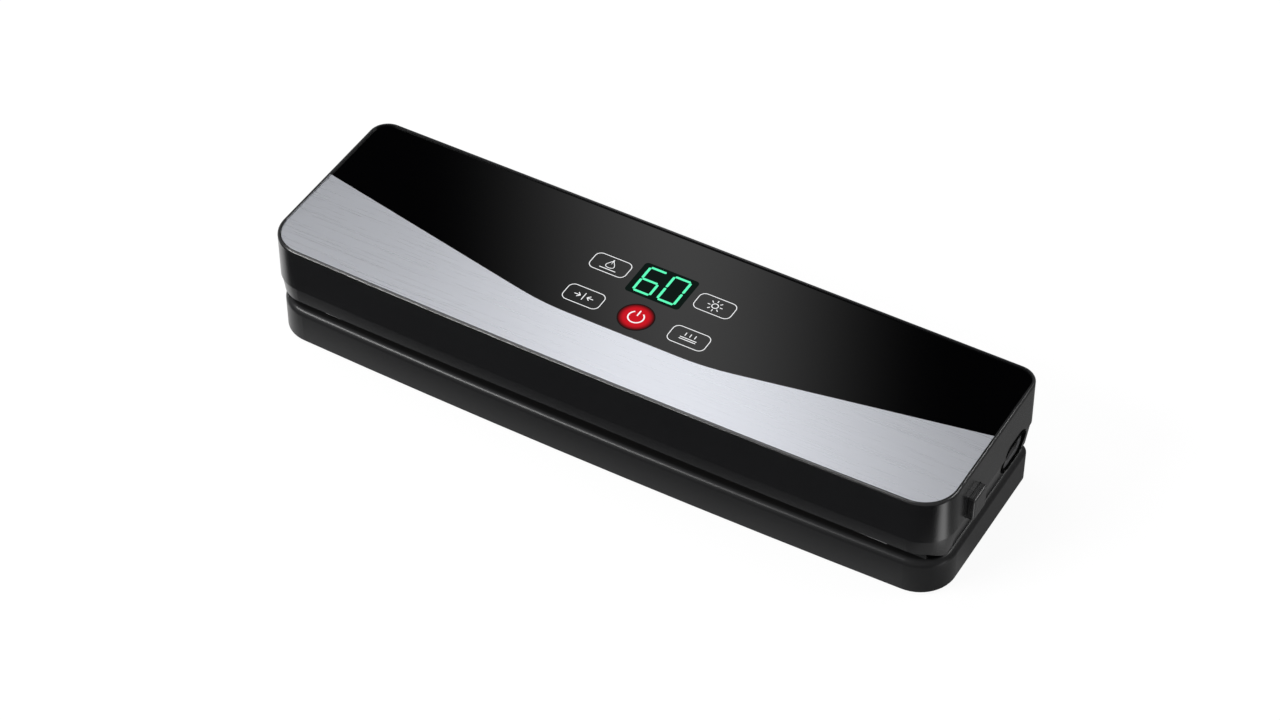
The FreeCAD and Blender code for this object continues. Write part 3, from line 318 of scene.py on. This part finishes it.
def rubber(name, colour, pore=0.8 * MM, depth=0.06 * MM):
    """Matt rubber or closed-cell foam with open pores at its skin."""
    made = Finish(name, Specular_IOR_Level=0.25)
    pores = made.node("TexVoronoi", None, {"Vector": made.place(), "Scale": 1 / pore})
    dust = made.noise(90.0)
    made.feed(Base_Color=made.shades(dust, colour, 0.8, 1.25), Roughness=0.7 + 0.15 * dust,
              Normal=made.bump(pores, 0.5, depth))
    return made.material


def woven_tape(name, dark, light, pitch=0.7 * MM, depth=0.05 * MM):
    """Coated glass cloth: a plain weave of two crossing wave patterns under a thin film."""
    made = Finish(name, Coat_Weight=0.3, Coat_Roughness=0.25)
    scale = 1 / pitch / WAVES_PER_UNIT
    warp, weft = (made.node("TexWave", {"bands_direction": run}, {"Vector": made.place(), "Scale": scale})
                  for run in "XY")
    weave = warp * weft
    made.feed(Base_Color=made.between(weave, dark, light), Roughness=0.42 + 0.15 * weave,
              Normal=made.bump(weave, 0.4, depth))
    return made.material


def lit_field(name, colour, glow, centre=(0, 0, 0), full=1.0, edge=2.0):
    """A back-lit field that fades to black between two distances from its centre."""
    made = Finish(name, Specular_IOR_Level=0.05, Emission_Strength=glow)
    reach = made.node("VectorMath", {"operation": "LENGTH"}, {0: made.place((1, 1, 0), centre)}, out=1)
    lit = made.falling(reach, full, edge) * (0.94 + 0.06 * made.noise(2500.0, detail=2.0))
    made.feed(Base_Color=made.shades(lit, colour, 0.0, 0.15), Roughness=0.4 + 0.1 * lit,
              Emission_Color=made.shades(lit, colour, 0.0, 1.0))
    return made.material


LID_BLACK = moulded_plastic("lid_black", (0.006, 0.0061, 0.0065), 0.2, 0.42)
# The base is painted near black above the deck's level: painted shade for the slot under the lid
BASE_BLACK = moulded_plastic("base_black", (0.0095, 0.0096, 0.01), 0.29, 0.15, matt_and_shade_above=DECK_TOP)
BUTTON_BLACK = moulded_plastic("button_black", (0.008, 0.0081, 0.0085), 0.22, 0.6)
# Black plastic made darker and almost without sheen: painted shade for the shadowed rim of the inlet's
# recess
BEZEL_BLACK_AND_SHADE = moulded_plastic("bezel_black_and_shade", (0.002, 0.002, 0.0021), 0.7, 0.01)
INLET_GREY = moulded_plastic("inlet_grey", (0.075, 0.075, 0.078), 0.4, 0.35)
PANEL_BLACK = gloss_panel("panel_black", (0.0005, 0.0005, 0.0006), 0.035, 0.20)
WINDOW_BLACK = gloss_panel("window_smoke", (0.0006, 0.0035, 0.0025), 0.03, 0.015)
INLAY_STEEL = brushed_steel("inlay_steel", (0.69, 0.71, 0.765), (0.78, 0.80, 0.855), 0.28)
RIBBON_STEEL = brushed_steel("ribbon_steel", (0.45, 0.45, 0.45), (0.62, 0.61, 0.60), 0.34)
MOTOR_STEEL = brushed_steel("motor_steel", (0.42, 0.42, 0.43), (0.60, 0.60, 0.61), 0.4)
SCREW_STEEL = plated_metal("screw_steel", (0.58, 0.58, 0.60), 0.28)
BRASS = plated_metal("brass", (0.76, 0.58, 0.28), 0.3)
FOOT_RUBBER = rubber("foot_rubber", (0.018, 0.018, 0.019), 0.5 * MM, 0.02 * MM)
GASKET_FOAM = rubber("gasket_foam", (0.03, 0.03, 0.032))
STRIP_SILICONE = rubber("strip_silicone", (0.20, 0.20, 0.205), 0.4 * MM, 0.01 * MM)
PAD_FOAM = rubber("pad_foam", (0.05, 0.05, 0.05))
HOSE_SILICONE = rubber("hose_silicone", (0.62, 0.62, 0.58), 0.5 * MM, 0.005 * MM)
HEATER_RESIN = moulded_plastic("heater_resin", (0.13, 0.07, 0.035), 0.45, 0.4)
HEATER_CLOTH = woven_tape("heater_cloth", (0.26, 0.15, 0.07), (0.44, 0.28, 0.14))
PUMP_PLASTIC = moulded_plastic("pump_plastic", (0.70, 0.69, 0.65), 0.42, 0.4)
COMPONENT_BLACK = moulded_plastic("component_black", (0.02, 0.02, 0.021), 0.45, 0.35)
BOARD_GREEN = moulded_plastic("board_green", (0.02, 0.16, 0.06), 0.28, 0.5)
TAPE_YELLOW = moulded_plastic("transformer_tape", (0.72, 0.52, 0.06), 0.3, 0.5)
LEAD_BLUE = moulded_plastic("lead_blue", (0.03, 0.10, 0.45), 0.35, 0.5)
LEAD_RED = moulded_plastic("lead_red", (0.5, 0.03, 0.025), 0.35, 0.5)
DISPLAY_FACE = moulded_plastic("display_face", (0.03, 0.03, 0.03), 0.5, 0.3)
KEY_WHITE = lit_field("key_white", (0.90, 0.91, 0.92), 0.9)
DIGIT_GREEN = lit_field("digit_green", (0.10, 0.87, 0.44), 1.0)

NODE_FINISHES = {
    LID_BLACK: ["head_upper_shell", "head_lower_shell"],
    BASE_BLACK: ["base_deck", "base_plate", "trough_liner"],
    BUTTON_BLACK: ["release_button_left", "release_button_right"],
    BEZEL_BLACK_AND_SHADE: ["inlet_bezel"],
    INLET_GREY: ["power_inlet"],
    PANEL_BLACK: ["control_panel"],
    WINDOW_BLACK: ["display_window"],
    INLAY_STEEL: ["steel_inlay"],
    RIBBON_STEEL: ["heater_ribbon"],
    MOTOR_STEEL: ["pump_motor"],
    SCREW_STEEL: ["board_screws", "head_screws", "base_screws", "hinge_pin_left", "hinge_pin_right",
                  "latch_spring_left", "latch_spring_right", "pump_crank"],
    BRASS: ["heater_terminal_left", "heater_terminal_right", "inlet_pins"],
    FOOT_RUBBER: ["foot_front_left", "foot_front_right", "foot_rear_left", "foot_rear_right",
                  "pump_diaphragm"],
    GASKET_FOAM: ["upper_gasket", "lower_gasket"],
    STRIP_SILICONE: ["press_strip"],
    PAD_FOAM: ["touch_pads"],
    HOSE_SILICONE: ["vacuum_hose", "vent_hose"],
    HEATER_RESIN: ["heater_holder"],
    HEATER_CLOTH: ["heater_tape"],
    PUMP_PLASTIC: ["pump_saddle", "pump_block_housing", "pump_cover", "suction_port"],
    COMPONENT_BLACK: ["buzzer", "capacitor", "relay", "release_valve"],
    BOARD_GREEN: ["control_board", "power_board"],
    TAPE_YELLOW: ["transformer"],
    LEAD_BLUE: ["mains_leads"],
    LEAD_RED: ["heater_leads", "motor_leads"],
    DISPLAY_FACE: ["display_module"],
}


def coat(made, finish):
    made.data.materials.clear()
    made.data.materials.append(finish)


def finish_nodes():
    """Give every construction piece its surface."""
    for finish, names in NODE_FINISHES.items():
        for name in names:
            thing = frame["nodes"][name]
            coat(thing, finish)


# Modelling by hand steps

def deselect():
    if bpy.context.mode != "OBJECT":
        bpy.ops.object.mode_set(mode="OBJECT")
    bpy.ops.object.select_all(action="DESELECT")


def edit_all():
    """Open the active piece in edit mode with all of it selected."""
    bpy.ops.object.mode_set(mode="EDIT")
    bpy.ops.mesh.select_all(action="SELECT")


def close_solid():
    """Turn the faces of the closed piece in edit mode outwards and leave that mode."""
    bpy.ops.mesh.select_all(action="SELECT")
    bpy.ops.mesh.normals_make_consistent(inside=False)
    bpy.ops.object.mode_set(mode="OBJECT")


def flat_plate(width, depth, corner, segments):
    """A flat face with round corners about the origin, left in edit mode."""
    deselect()
    bpy.ops.mesh.primitive_plane_add(size=1)
    made = bpy.context.object
    made.scale = (width, depth, 1)
    bpy.ops.object.transform_apply(scale=True)
    edit_all()
    bpy.ops.mesh.bevel(offset=corner, segments=segments, affect="VERTICES")
    bpy.ops.mesh.select_all(action="SELECT")
    return made


def open_ring(line):
    """Cut the middle out of the face in edit mode, leaving a ring of one width."""
    bpy.ops.mesh.inset(thickness=line)
    bpy.ops.mesh.delete(type="FACE")
    bpy.ops.mesh.select_all(action="SELECT")


def thicken(height):
    """Raise what is selected into a closed solid."""
    bpy.ops.mesh.extrude_region_move(TRANSFORM_OT_translate={"value": (0, 0, height)})
    close_solid()


def set_down(made, place, turn=0.0):
    """Turn a piece about Z, move it to its place and keep the place in its mesh."""
    deselect()
    made.select_set(True)
    bpy.context.view_layer.objects.active = made
    made.rotation_euler = (0, 0, turn)
    made.location = place
    bpy.ops.object.transform_apply(location=True, rotation=True, scale=True)
    return made


def joined(name, pieces):
    """One object out of several."""
    deselect()
    for piece in pieces:
        piece.select_set(True)
    bpy.context.view_layer.objects.active = pieces[0]
    if len(pieces) > 1:
        bpy.ops.object.join()
    made = bpy.context.object
    made.name = name
    made.data.name = name
    return made


def smoothed(name, piece):
    """Name a piece and shade its curved faces smooth."""
    made = joined(name, [piece])
    bpy.ops.object.shade_smooth_by_angle(angle=SMOOTH_ANGLE)
    return made


def dress(made, finish, body="head"):
    """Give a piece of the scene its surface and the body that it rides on."""
    coat(made, finish)
    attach(made, body)


# Printed keys and numerals

def bar(length, thick, place, turn=0.0):
    """A short printed stroke with round ends."""
    made = flat_plate(length, thick, thick * STROKE_ROUND_SHARE, segments=4)
    thicken(PRINT_THICK)
    return set_down(made, place, turn)


def ring(radius, line, place, gap=0.0, steps=48):
    """A printed circle of one line width, open at the top by a gap angle."""
    deselect()
    bpy.ops.mesh.primitive_plane_add(size=1)
    made = bpy.context.object
    edit_all()
    bpy.ops.mesh.merge(type="CENTER")
    bpy.ops.transform.translate(value=(0, radius - line / 2, 0))
    bpy.ops.mesh.extrude_region_move(TRANSFORM_OT_translate={"value": (0, line, 0)})
    bpy.ops.mesh.select_all(action="SELECT")
    if gap:
        bpy.ops.transform.rotate(value=gap / 2, orient_axis="Z", center_override=(0, 0, 0))
    bpy.ops.mesh.spin(steps=steps, angle=2 * math.pi - gap, center=(0, 0, 0), axis=(0, 0, 1))
    bpy.ops.mesh.select_all(action="SELECT")
    bpy.ops.mesh.remove_doubles(threshold=line / 100)
    bpy.ops.mesh.select_all(action="SELECT")
    thicken(PRINT_THICK)
    return set_down(made, place)


def disc(radius, place):
    """A round printed field with a narrow band of faces at its rim."""
    deselect()
    bpy.ops.mesh.primitive_circle_add(vertices=72, radius=radius, fill_type="NGON")
    made = bpy.context.object
    edit_all()
    bpy.ops.mesh.inset(thickness=radius / 20)
    bpy.ops.mesh.select_all(action="SELECT")
    thicken(PRINT_THICK)
    return set_down(made, place)


def drop(radius, place):
    """A printed water drop: a round foot that runs up to a point."""
    deselect()
    bpy.ops.mesh.primitive_circle_add(vertices=40, radius=radius, fill_type="NGON")
    made = bpy.context.object
    for point in made.data.vertices:
        angle = math.atan2(point.co.x, -point.co.y)
        point.co.x = DROP_FULLNESS * radius * math.sin(angle) * math.cos(angle / 2) ** 2
        point.co.y = -DROP_STRETCH * radius * math.cos(angle)
    edit_all()
    open_ring(DROP_LINE)
    thicken(PRINT_THICK)
    return set_down(made, place)


def drop_icon(centre):
    """Moist food: a drop over a level line."""
    return [drop(DROP_RADIUS, centre + Vector((0, DROP_RISE, 0))),
            bar(SEAM_LENGTH, ICON_LINE, centre + Vector((0, DROP_SEAM_LEVEL, 0)))]


def sun_icon(centre):
    """Dry food: a small sun with its rays."""
    strokes = [ring(SUN_RADIUS, ICON_LINE, centre, steps=32)]
    for i in range(RAYS):
        angle = 2 * math.pi * i / RAYS
        reach = RAY_REACH * Vector((math.cos(angle), math.sin(angle), 0))
        strokes.append(bar(RAY_LENGTH, ICON_LINE, centre + reach, angle))
    return strokes


def inward_icon(centre):
    """Drawing air out: arrows from both sides towards a middle line."""
    strokes = [bar(STOP_LENGTH, ICON_LINE, centre, UPRIGHT)]
    for side in (-1, 1):
        strokes.append(bar(ARROW_LENGTH, ICON_LINE, centre + Vector((side * ARROW_REACH, 0, 0))))
        for up in (-1, 1):
            tip = Vector((side * BARB_REACH, up * BARB_RISE, 0))
            strokes.append(bar(BARB_LENGTH, ICON_LINE, centre + tip, side * up * math.pi / 4))
    return strokes


def heat_icon(centre):
    """Sealing: three strokes of heat over the two lines of a seam."""
    strokes = [bar(SEAM_LENGTH, ICON_LINE, centre + Vector((0, level, 0))) for level in HEAT_SEAM_LEVELS]
    for step in (-1, 0, 1):
        spot = centre + Vector((step * HEAT_PITCH, HEAT_RISE, 0))
        strokes.append(bar(HEAT_LENGTH, ICON_LINE, spot, UPRIGHT))
    return strokes


def printed_keys():
    """Four outlined touch keys with their signs, and the red power key, on the panel."""
    panel_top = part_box("control_panel")[1].z
    low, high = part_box("touch_pads")
    icons = {("left", "rear"): drop_icon, ("right", "rear"): sun_icon,
             ("left", "front"): inward_icon, ("right", "front"): heat_icon}
    for (side, row), icon in icons.items():
        x = low.x + PAD_RADIUS if side == "left" else high.x - PAD_RADIUS
        y = low.y + PAD_RADIUS if row == "front" else high.y - PAD_RADIUS
        centre = Vector((x, y, panel_top))
        outline = flat_plate(KEY_WIDTH, KEY_DEPTH, KEY_CORNER, segments=8)
        open_ring(KEY_LINE)
        thicken(PRINT_THICK)
        strokes = [set_down(outline, centre)] + icon(centre)
        dress(joined(f"key_print_{row}_{side}", strokes), KEY_WHITE)
    centre = Vector((0, low.y + PAD_RADIUS, panel_top))
    red = lit_field("power_red", (0.50, 0.003, 0.010), 0.95, centre, POWER_LIT_RADIUS, POWER_RADIUS)
    dress(joined("power_key_print", [disc(POWER_RADIUS, centre)]), red)
    top = centre + Vector((0, 0, PRINT_THICK))
    sign = [ring(POWER_RING_RADIUS, POWER_LINE, top, POWER_GAP),
            bar(POWER_RING_RADIUS, POWER_LINE, top + Vector((0, POWER_STROKE_RISE, 0)), UPRIGHT)]
    dress(joined("power_sign_print", sign), KEY_WHITE)


# Strokes of a numeral as (across, up, upright), in halves of its width and height
BARS = {"top": (0, 1, False), "middle": (0, 0, False), "bottom": (0, -1, False),
        "upper_left": (-1, 0.5, True), "upper_right": (1, 0.5, True),
        "lower_left": (-1, -0.5, True), "lower_right": (1, -0.5, True)}
NUMERALS = {
    "6": ("top", "middle", "bottom", "upper_left", "lower_left", "lower_right"),
    "0": ("top", "bottom", "upper_left", "upper_right", "lower_left", "lower_right"),
}


def display_digits():
    """Two lit seven-bar numerals, leaning a little, on the window."""
    low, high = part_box("display_window")
    centre = (low + high) / 2
    centre.z = high.z
    half_width = (DIGIT_WIDTH - BAR_THICK) / 2
    half_height = (DIGIT_HEIGHT - BAR_THICK) / 2
    bars = []
    for step, numeral in ((-0.5, "6"), (0.5, "0")):
        for name in NUMERALS[numeral]:
            across, up, upright = BARS[name]
            length = (half_height if upright else 2 * half_width) - BAR_GAP
            spot = Vector((step * DIGIT_PITCH + across * half_width, up * half_height, 0))
            bars.append(bar(length, BAR_THICK, spot, UPRIGHT if upright else 0.0))
    digits = joined("display_digits", bars)
    digits.data.transform(Matrix.Translation(centre) @ Matrix.Shear("XY", 4, (DIGIT_SLANT, 0)))
    dress(digits, DIGIT_GREEN)


# Seals, the painted-shade ring at the inlet, and springs

def soft_ring(node, body, round_low):
    """A foam gasket ring with rounded lips, in the space of its plain solid."""
    low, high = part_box(node)
    size = high - low
    made = flat_plate(size.x, size.y, GASKET_CORNER, segments=12)
    open_ring(GASKET_WIDTH)
    thicken(size.z)
    lip = 0.0 if round_low else size.z
    bpy.ops.object.mode_set(mode="EDIT")
    bpy.ops.mesh.select_mode(type="EDGE")
    bpy.ops.mesh.select_all(action="DESELECT")
    bpy.ops.object.mode_set(mode="OBJECT")
    points = made.data.vertices
    walls = [face for face in made.data.polygons if abs(face.normal.z) < 0.5]
    wall_lines = {key for wall in walls for key in wall.edge_keys}
    for line in made.data.edges:
        at_lip = all(abs(points[i].co.z - lip) < CLOSE for i in line.vertices)
        line.select = at_lip and line.key in wall_lines
    bpy.ops.object.mode_set(mode="EDIT")
    bpy.ops.mesh.bevel(offset=GASKET_ROUND, segments=4, affect="EDGES")
    bpy.ops.object.mode_set(mode="OBJECT")
    set_down(made, Vector(((low.x + high.x) / 2, (low.y + high.y) / 2, low.z)))
    made = smoothed(node + "_foam", made)
    dress(made, GASKET_FOAM, body)
    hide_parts(node)


def silicone_strip():
    """The pressing strip with rounded edges."""
    low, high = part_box("press_strip")
    deselect()
    bpy.ops.mesh.primitive_cube_add(size=1)
    made = bpy.context.object
    made.scale = high - low
    bpy.ops.object.transform_apply(scale=True)
    edit_all()
    bpy.ops.mesh.bevel(offset=STRIP_ROUND, segments=4, affect="EDGES")
    bpy.ops.object.mode_set(mode="OBJECT")
    set_down(made, (low + high) / 2)
    made = smoothed("press_strip_silicone", made)
    dress(made, STRIP_SILICONE, "base")
    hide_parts("press_strip")


def inlet_shade_grommet():
    """A near-black ring shaped as a rubber seal at the power inlet's edge against the end wall: painted
    shade for the shadowed rim of the inlet's recess.
    """
    low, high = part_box("inlet_bezel")
    made = flat_plate(SHADE_GROMMET_HEIGHT, SHADE_GROMMET_LENGTH, SHADE_GROMMET_CORNER, segments=16)
    open_ring(SHADE_GROMMET_WIDTH)
    thicken(SHADE_GROMMET_THICK)
    made.data.transform(Matrix.Rotation(UPRIGHT + SHADE_GROMMET_LEAN, 4, "Y"))
    set_down(made, (high.x - SHADE_GROMMET_SINK, (low.y + high.y) / 2, (low.z + high.z) / 2))
    dress(smoothed("inlet_shade_grommet", made), BEZEL_BLACK_AND_SHADE)


def latch_spring(end):
    """A release button's return spring, coiled about X."""
    node = "latch_spring_" + end
    press = next(row for row in frame["joints"] if row["name"] == "release_" + end + "_press")
    low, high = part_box(node)
    deselect()
    bpy.ops.mesh.primitive_circle_add(vertices=SPRING_SIDES, radius=SPRING_WIRE / 2)
    made = set_down(bpy.context.object, (0, (high.z - low.z - SPRING_WIRE) / 2, 0))
    coil = made.modifiers.new("coil", "SCREW")
    coil.axis = "X"
    coil.iterations = SPRING_TURNS
    coil.steps = coil.render_steps = SPRING_STEPS
    coil.screw_offset = (high.x - low.x - SPRING_WIRE) / SPRING_TURNS
    bpy.ops.object.modifier_apply(modifier=coil.name)
    edit_all()
    bpy.ops.mesh.fill_holes(sides=SPRING_SIDES)
    close_solid()
    set_down(made, (low.x + SPRING_WIRE / 2, (low.y + high.y) / 2, (low.z + high.z) / 2))
    made = smoothed("return_spring_" + end, made)
    dress(made, SCREW_STEEL)
    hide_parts(node)
    # Its two seats stand half a wire's thickness beyond its ends
    rest_length = high.x - low.x + SPRING_WIRE
    1 - press["range_m"][1] / rest_length
    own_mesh(made)


# Studio

def lit_card(name, place, aim, size, strength, fade, soft=MM):
    """A card seen in reflections alone: it faces a point, fades towards two sides and ends softly."""
    width, height = size
    deselect()
    bpy.ops.mesh.primitive_plane_add(size=1)
    card = bpy.context.object
    card.name = name
    card.scale = (width, height, 1)
    bpy.ops.object.transform_apply(scale=True)
    card.rotation_mode = "QUATERNION"
    card.rotation_quaternion = (place - aim).to_track_quat("Z", "Y")
    card.location = place
    made = Finish(name)
    spot = made.node("TexCoord", out="Object")
    aside = made.from_middle(spot, "X")
    glow = made.falling(aside, width / 2 * (1 - fade), width / 2)
    cover = made.falling(aside, width / 2 - soft, width / 2)
    cover = cover * made.falling(made.from_middle(spot, "Y"), height / 2 - soft, height / 2)
    light = made.node("Emission", None, {"Color": WHITE, "Strength": strength * glow * glow})
    clear = made.node("BsdfTransparent")
    made.show(made.node("MixShader", None, {"Fac": cover, 1: clear, 2: light}))
    card.data.materials.append(made.material)
    card.visible_camera = False
    card.visible_shadow = False
    card.visible_diffuse = False


def floor_card(name, x, y, layer, size, strength, soft):
    """A card that lies on the floor, where the plastic mirrors it."""
    place = Vector((x, y, layer * CARD_HEIGHT))
    lit_card(name, place, place - Vector((0, 0, 1)), size, strength, CARD_FADE, soft)


def stood_up(name, device):
    """A lamp or a camera as an object of the scene."""
    holder = bpy.data.objects.new(name, device)
    bpy.context.scene.collection.objects.link(holder)
    return holder


def soft_lamp(name, place, aim, size, power):
    """A large rectangular softbox."""
    lamp = bpy.data.lights.new(name, "AREA")
    lamp.shape = "RECTANGLE"
    lamp.size, lamp.size_y = size
    lamp.energy = power
    holder = stood_up(name, lamp)
    holder.location = place
    holder.rotation_mode = "QUATERNION"
    holder.rotation_quaternion = (Vector(aim) - Vector(place)).to_track_quat("-Z", "Y")
    holder.visible_camera = False


def seen_rays(made):
    """Is the ray one that shows the background: from the camera, a mirror or a glass."""
    seen = made.node("LightPath", out="Is Camera Ray")
    for ray in ("Is Glossy Ray", "Is Transmission Ray"):
        seen = seen.math("MAXIMUM", seen, made.node("LightPath", out=ray))
    return seen


def white_floor():
    """A pale floor that takes the part's shadow and looks white."""
    deselect()
    bpy.ops.mesh.primitive_plane_add(size=FLOOR_SIZE)
    floor = bpy.context.object
    floor.name = "floor"
    made = Finish("floor_white", Roughness=0.9, Specular_IOR_Level=0.0)
    made.feed(Base_Color=made.between(made.noise(0.5), (0.80, 0.80, 0.80), (0.82, 0.82, 0.82)))
    paint = Value(made, made.shader.outputs[0])
    white = made.node("Emission", None, {"Color": WHITE, "Strength": 1.0})
    made.show(made.node("MixShader", None, {"Fac": seen_rays(made) * FLOOR_GLOW, 1: paint, 2: white}))
    floor.data.materials.append(made.material)


def white_sky():
    """An even white sky all round."""
    world = bpy.data.worlds.new("studio")
    bpy.context.scene.world = world
    world.use_nodes = True
    sky = world.node_tree.nodes["Background"]
    sky.inputs["Color"].default_value = (*WHITE, 1)
    sky.inputs["Strength"].default_value = SKY_STRENGTH


def reflection_cards():
    """A dark flag with a bright slit over the panel, and dark and lit cards round the base."""
    flag_place = PANEL_MIDDLE + PANEL_FLAG_AWAY * PANEL_MIRROR
    slit_place = PANEL_MIDDLE + PANEL_SLIT_AWAY * PANEL_MIRROR + PANEL_SLIT_ASIDE * PANEL_ASIDE
    lit_card("panel_flag", flag_place, PANEL_MIDDLE, (2.4, 0.7), strength=0.0, fade=1.0)
    lit_card("panel_slit", slit_place, PANEL_MIDDLE, (0.74, 0.9), strength=2.05, fade=1.0)
    floor_card("front_flag", 0, -0.548, layer=1, size=(1.6, 1.0), strength=0.0, soft=0.024)
    floor_card("end_flag", 0.65, 0.455, layer=1, size=(1.0, 1.0), strength=0.22, soft=0.03)
    floor_card("corner_flag", 0.187, -0.044, layer=1.1, size=(0.06, 0.08), strength=0.35, soft=0.025)
    floor_card("corner_glow", 0.26, -0.044, layer=1.2, size=(0.12, 0.036), strength=2.4, soft=0.016)


def softboxes():
    """A lamp overhead, and long narrow ones at the front left and the rear right."""
    soft_lamp("overhead", (-0.9, 0.2, 2.1), aim=(0, 0, 0), size=(1.4, 1.2), power=22)
    soft_lamp("front_left", (-1.25, -1.45, 1.3), aim=(0, 0, 0.02), size=(1.4, 0.25), power=64)
    soft_lamp("right", (1.35, 1.08, 1.6), aim=(0.1, 0, 0.03), size=(1.2, 0.2), power=18)


def photo_camera():
    """The photograph's viewpoint."""
    lens = bpy.data.cameras.new("photo_camera")
    lens.lens = CAMERA_LENS
    lens.sensor_width = CAMERA_SENSOR
    lens.clip_end = CAMERA_REACH
    holder = stood_up("photo_camera", lens)
    turn = (CAMERA_AIM - CAMERA_PLACE).to_track_quat("-Z", "Y").to_matrix()
    turn = turn @ Matrix.Rotation(CAMERA_ROLL, 3, "Z")
    holder.matrix_world = Matrix.Translation(CAMERA_PLACE) @ turn.to_4x4()
    bpy.context.scene.camera = holder


finish_nodes()
printed_keys()
display_digits()
soft_ring("lower_gasket", "base", round_low=False)
soft_ring("upper_gasket", "head", round_low=True)
silicone_strip()
inlet_shade_grommet()
latch_spring("left")
latch_spring("right")
white_floor()
white_sky()
reflection_cards()
softboxes()
photo_camera()
bpy.context.scene.view_settings.view_transform = "Standard"
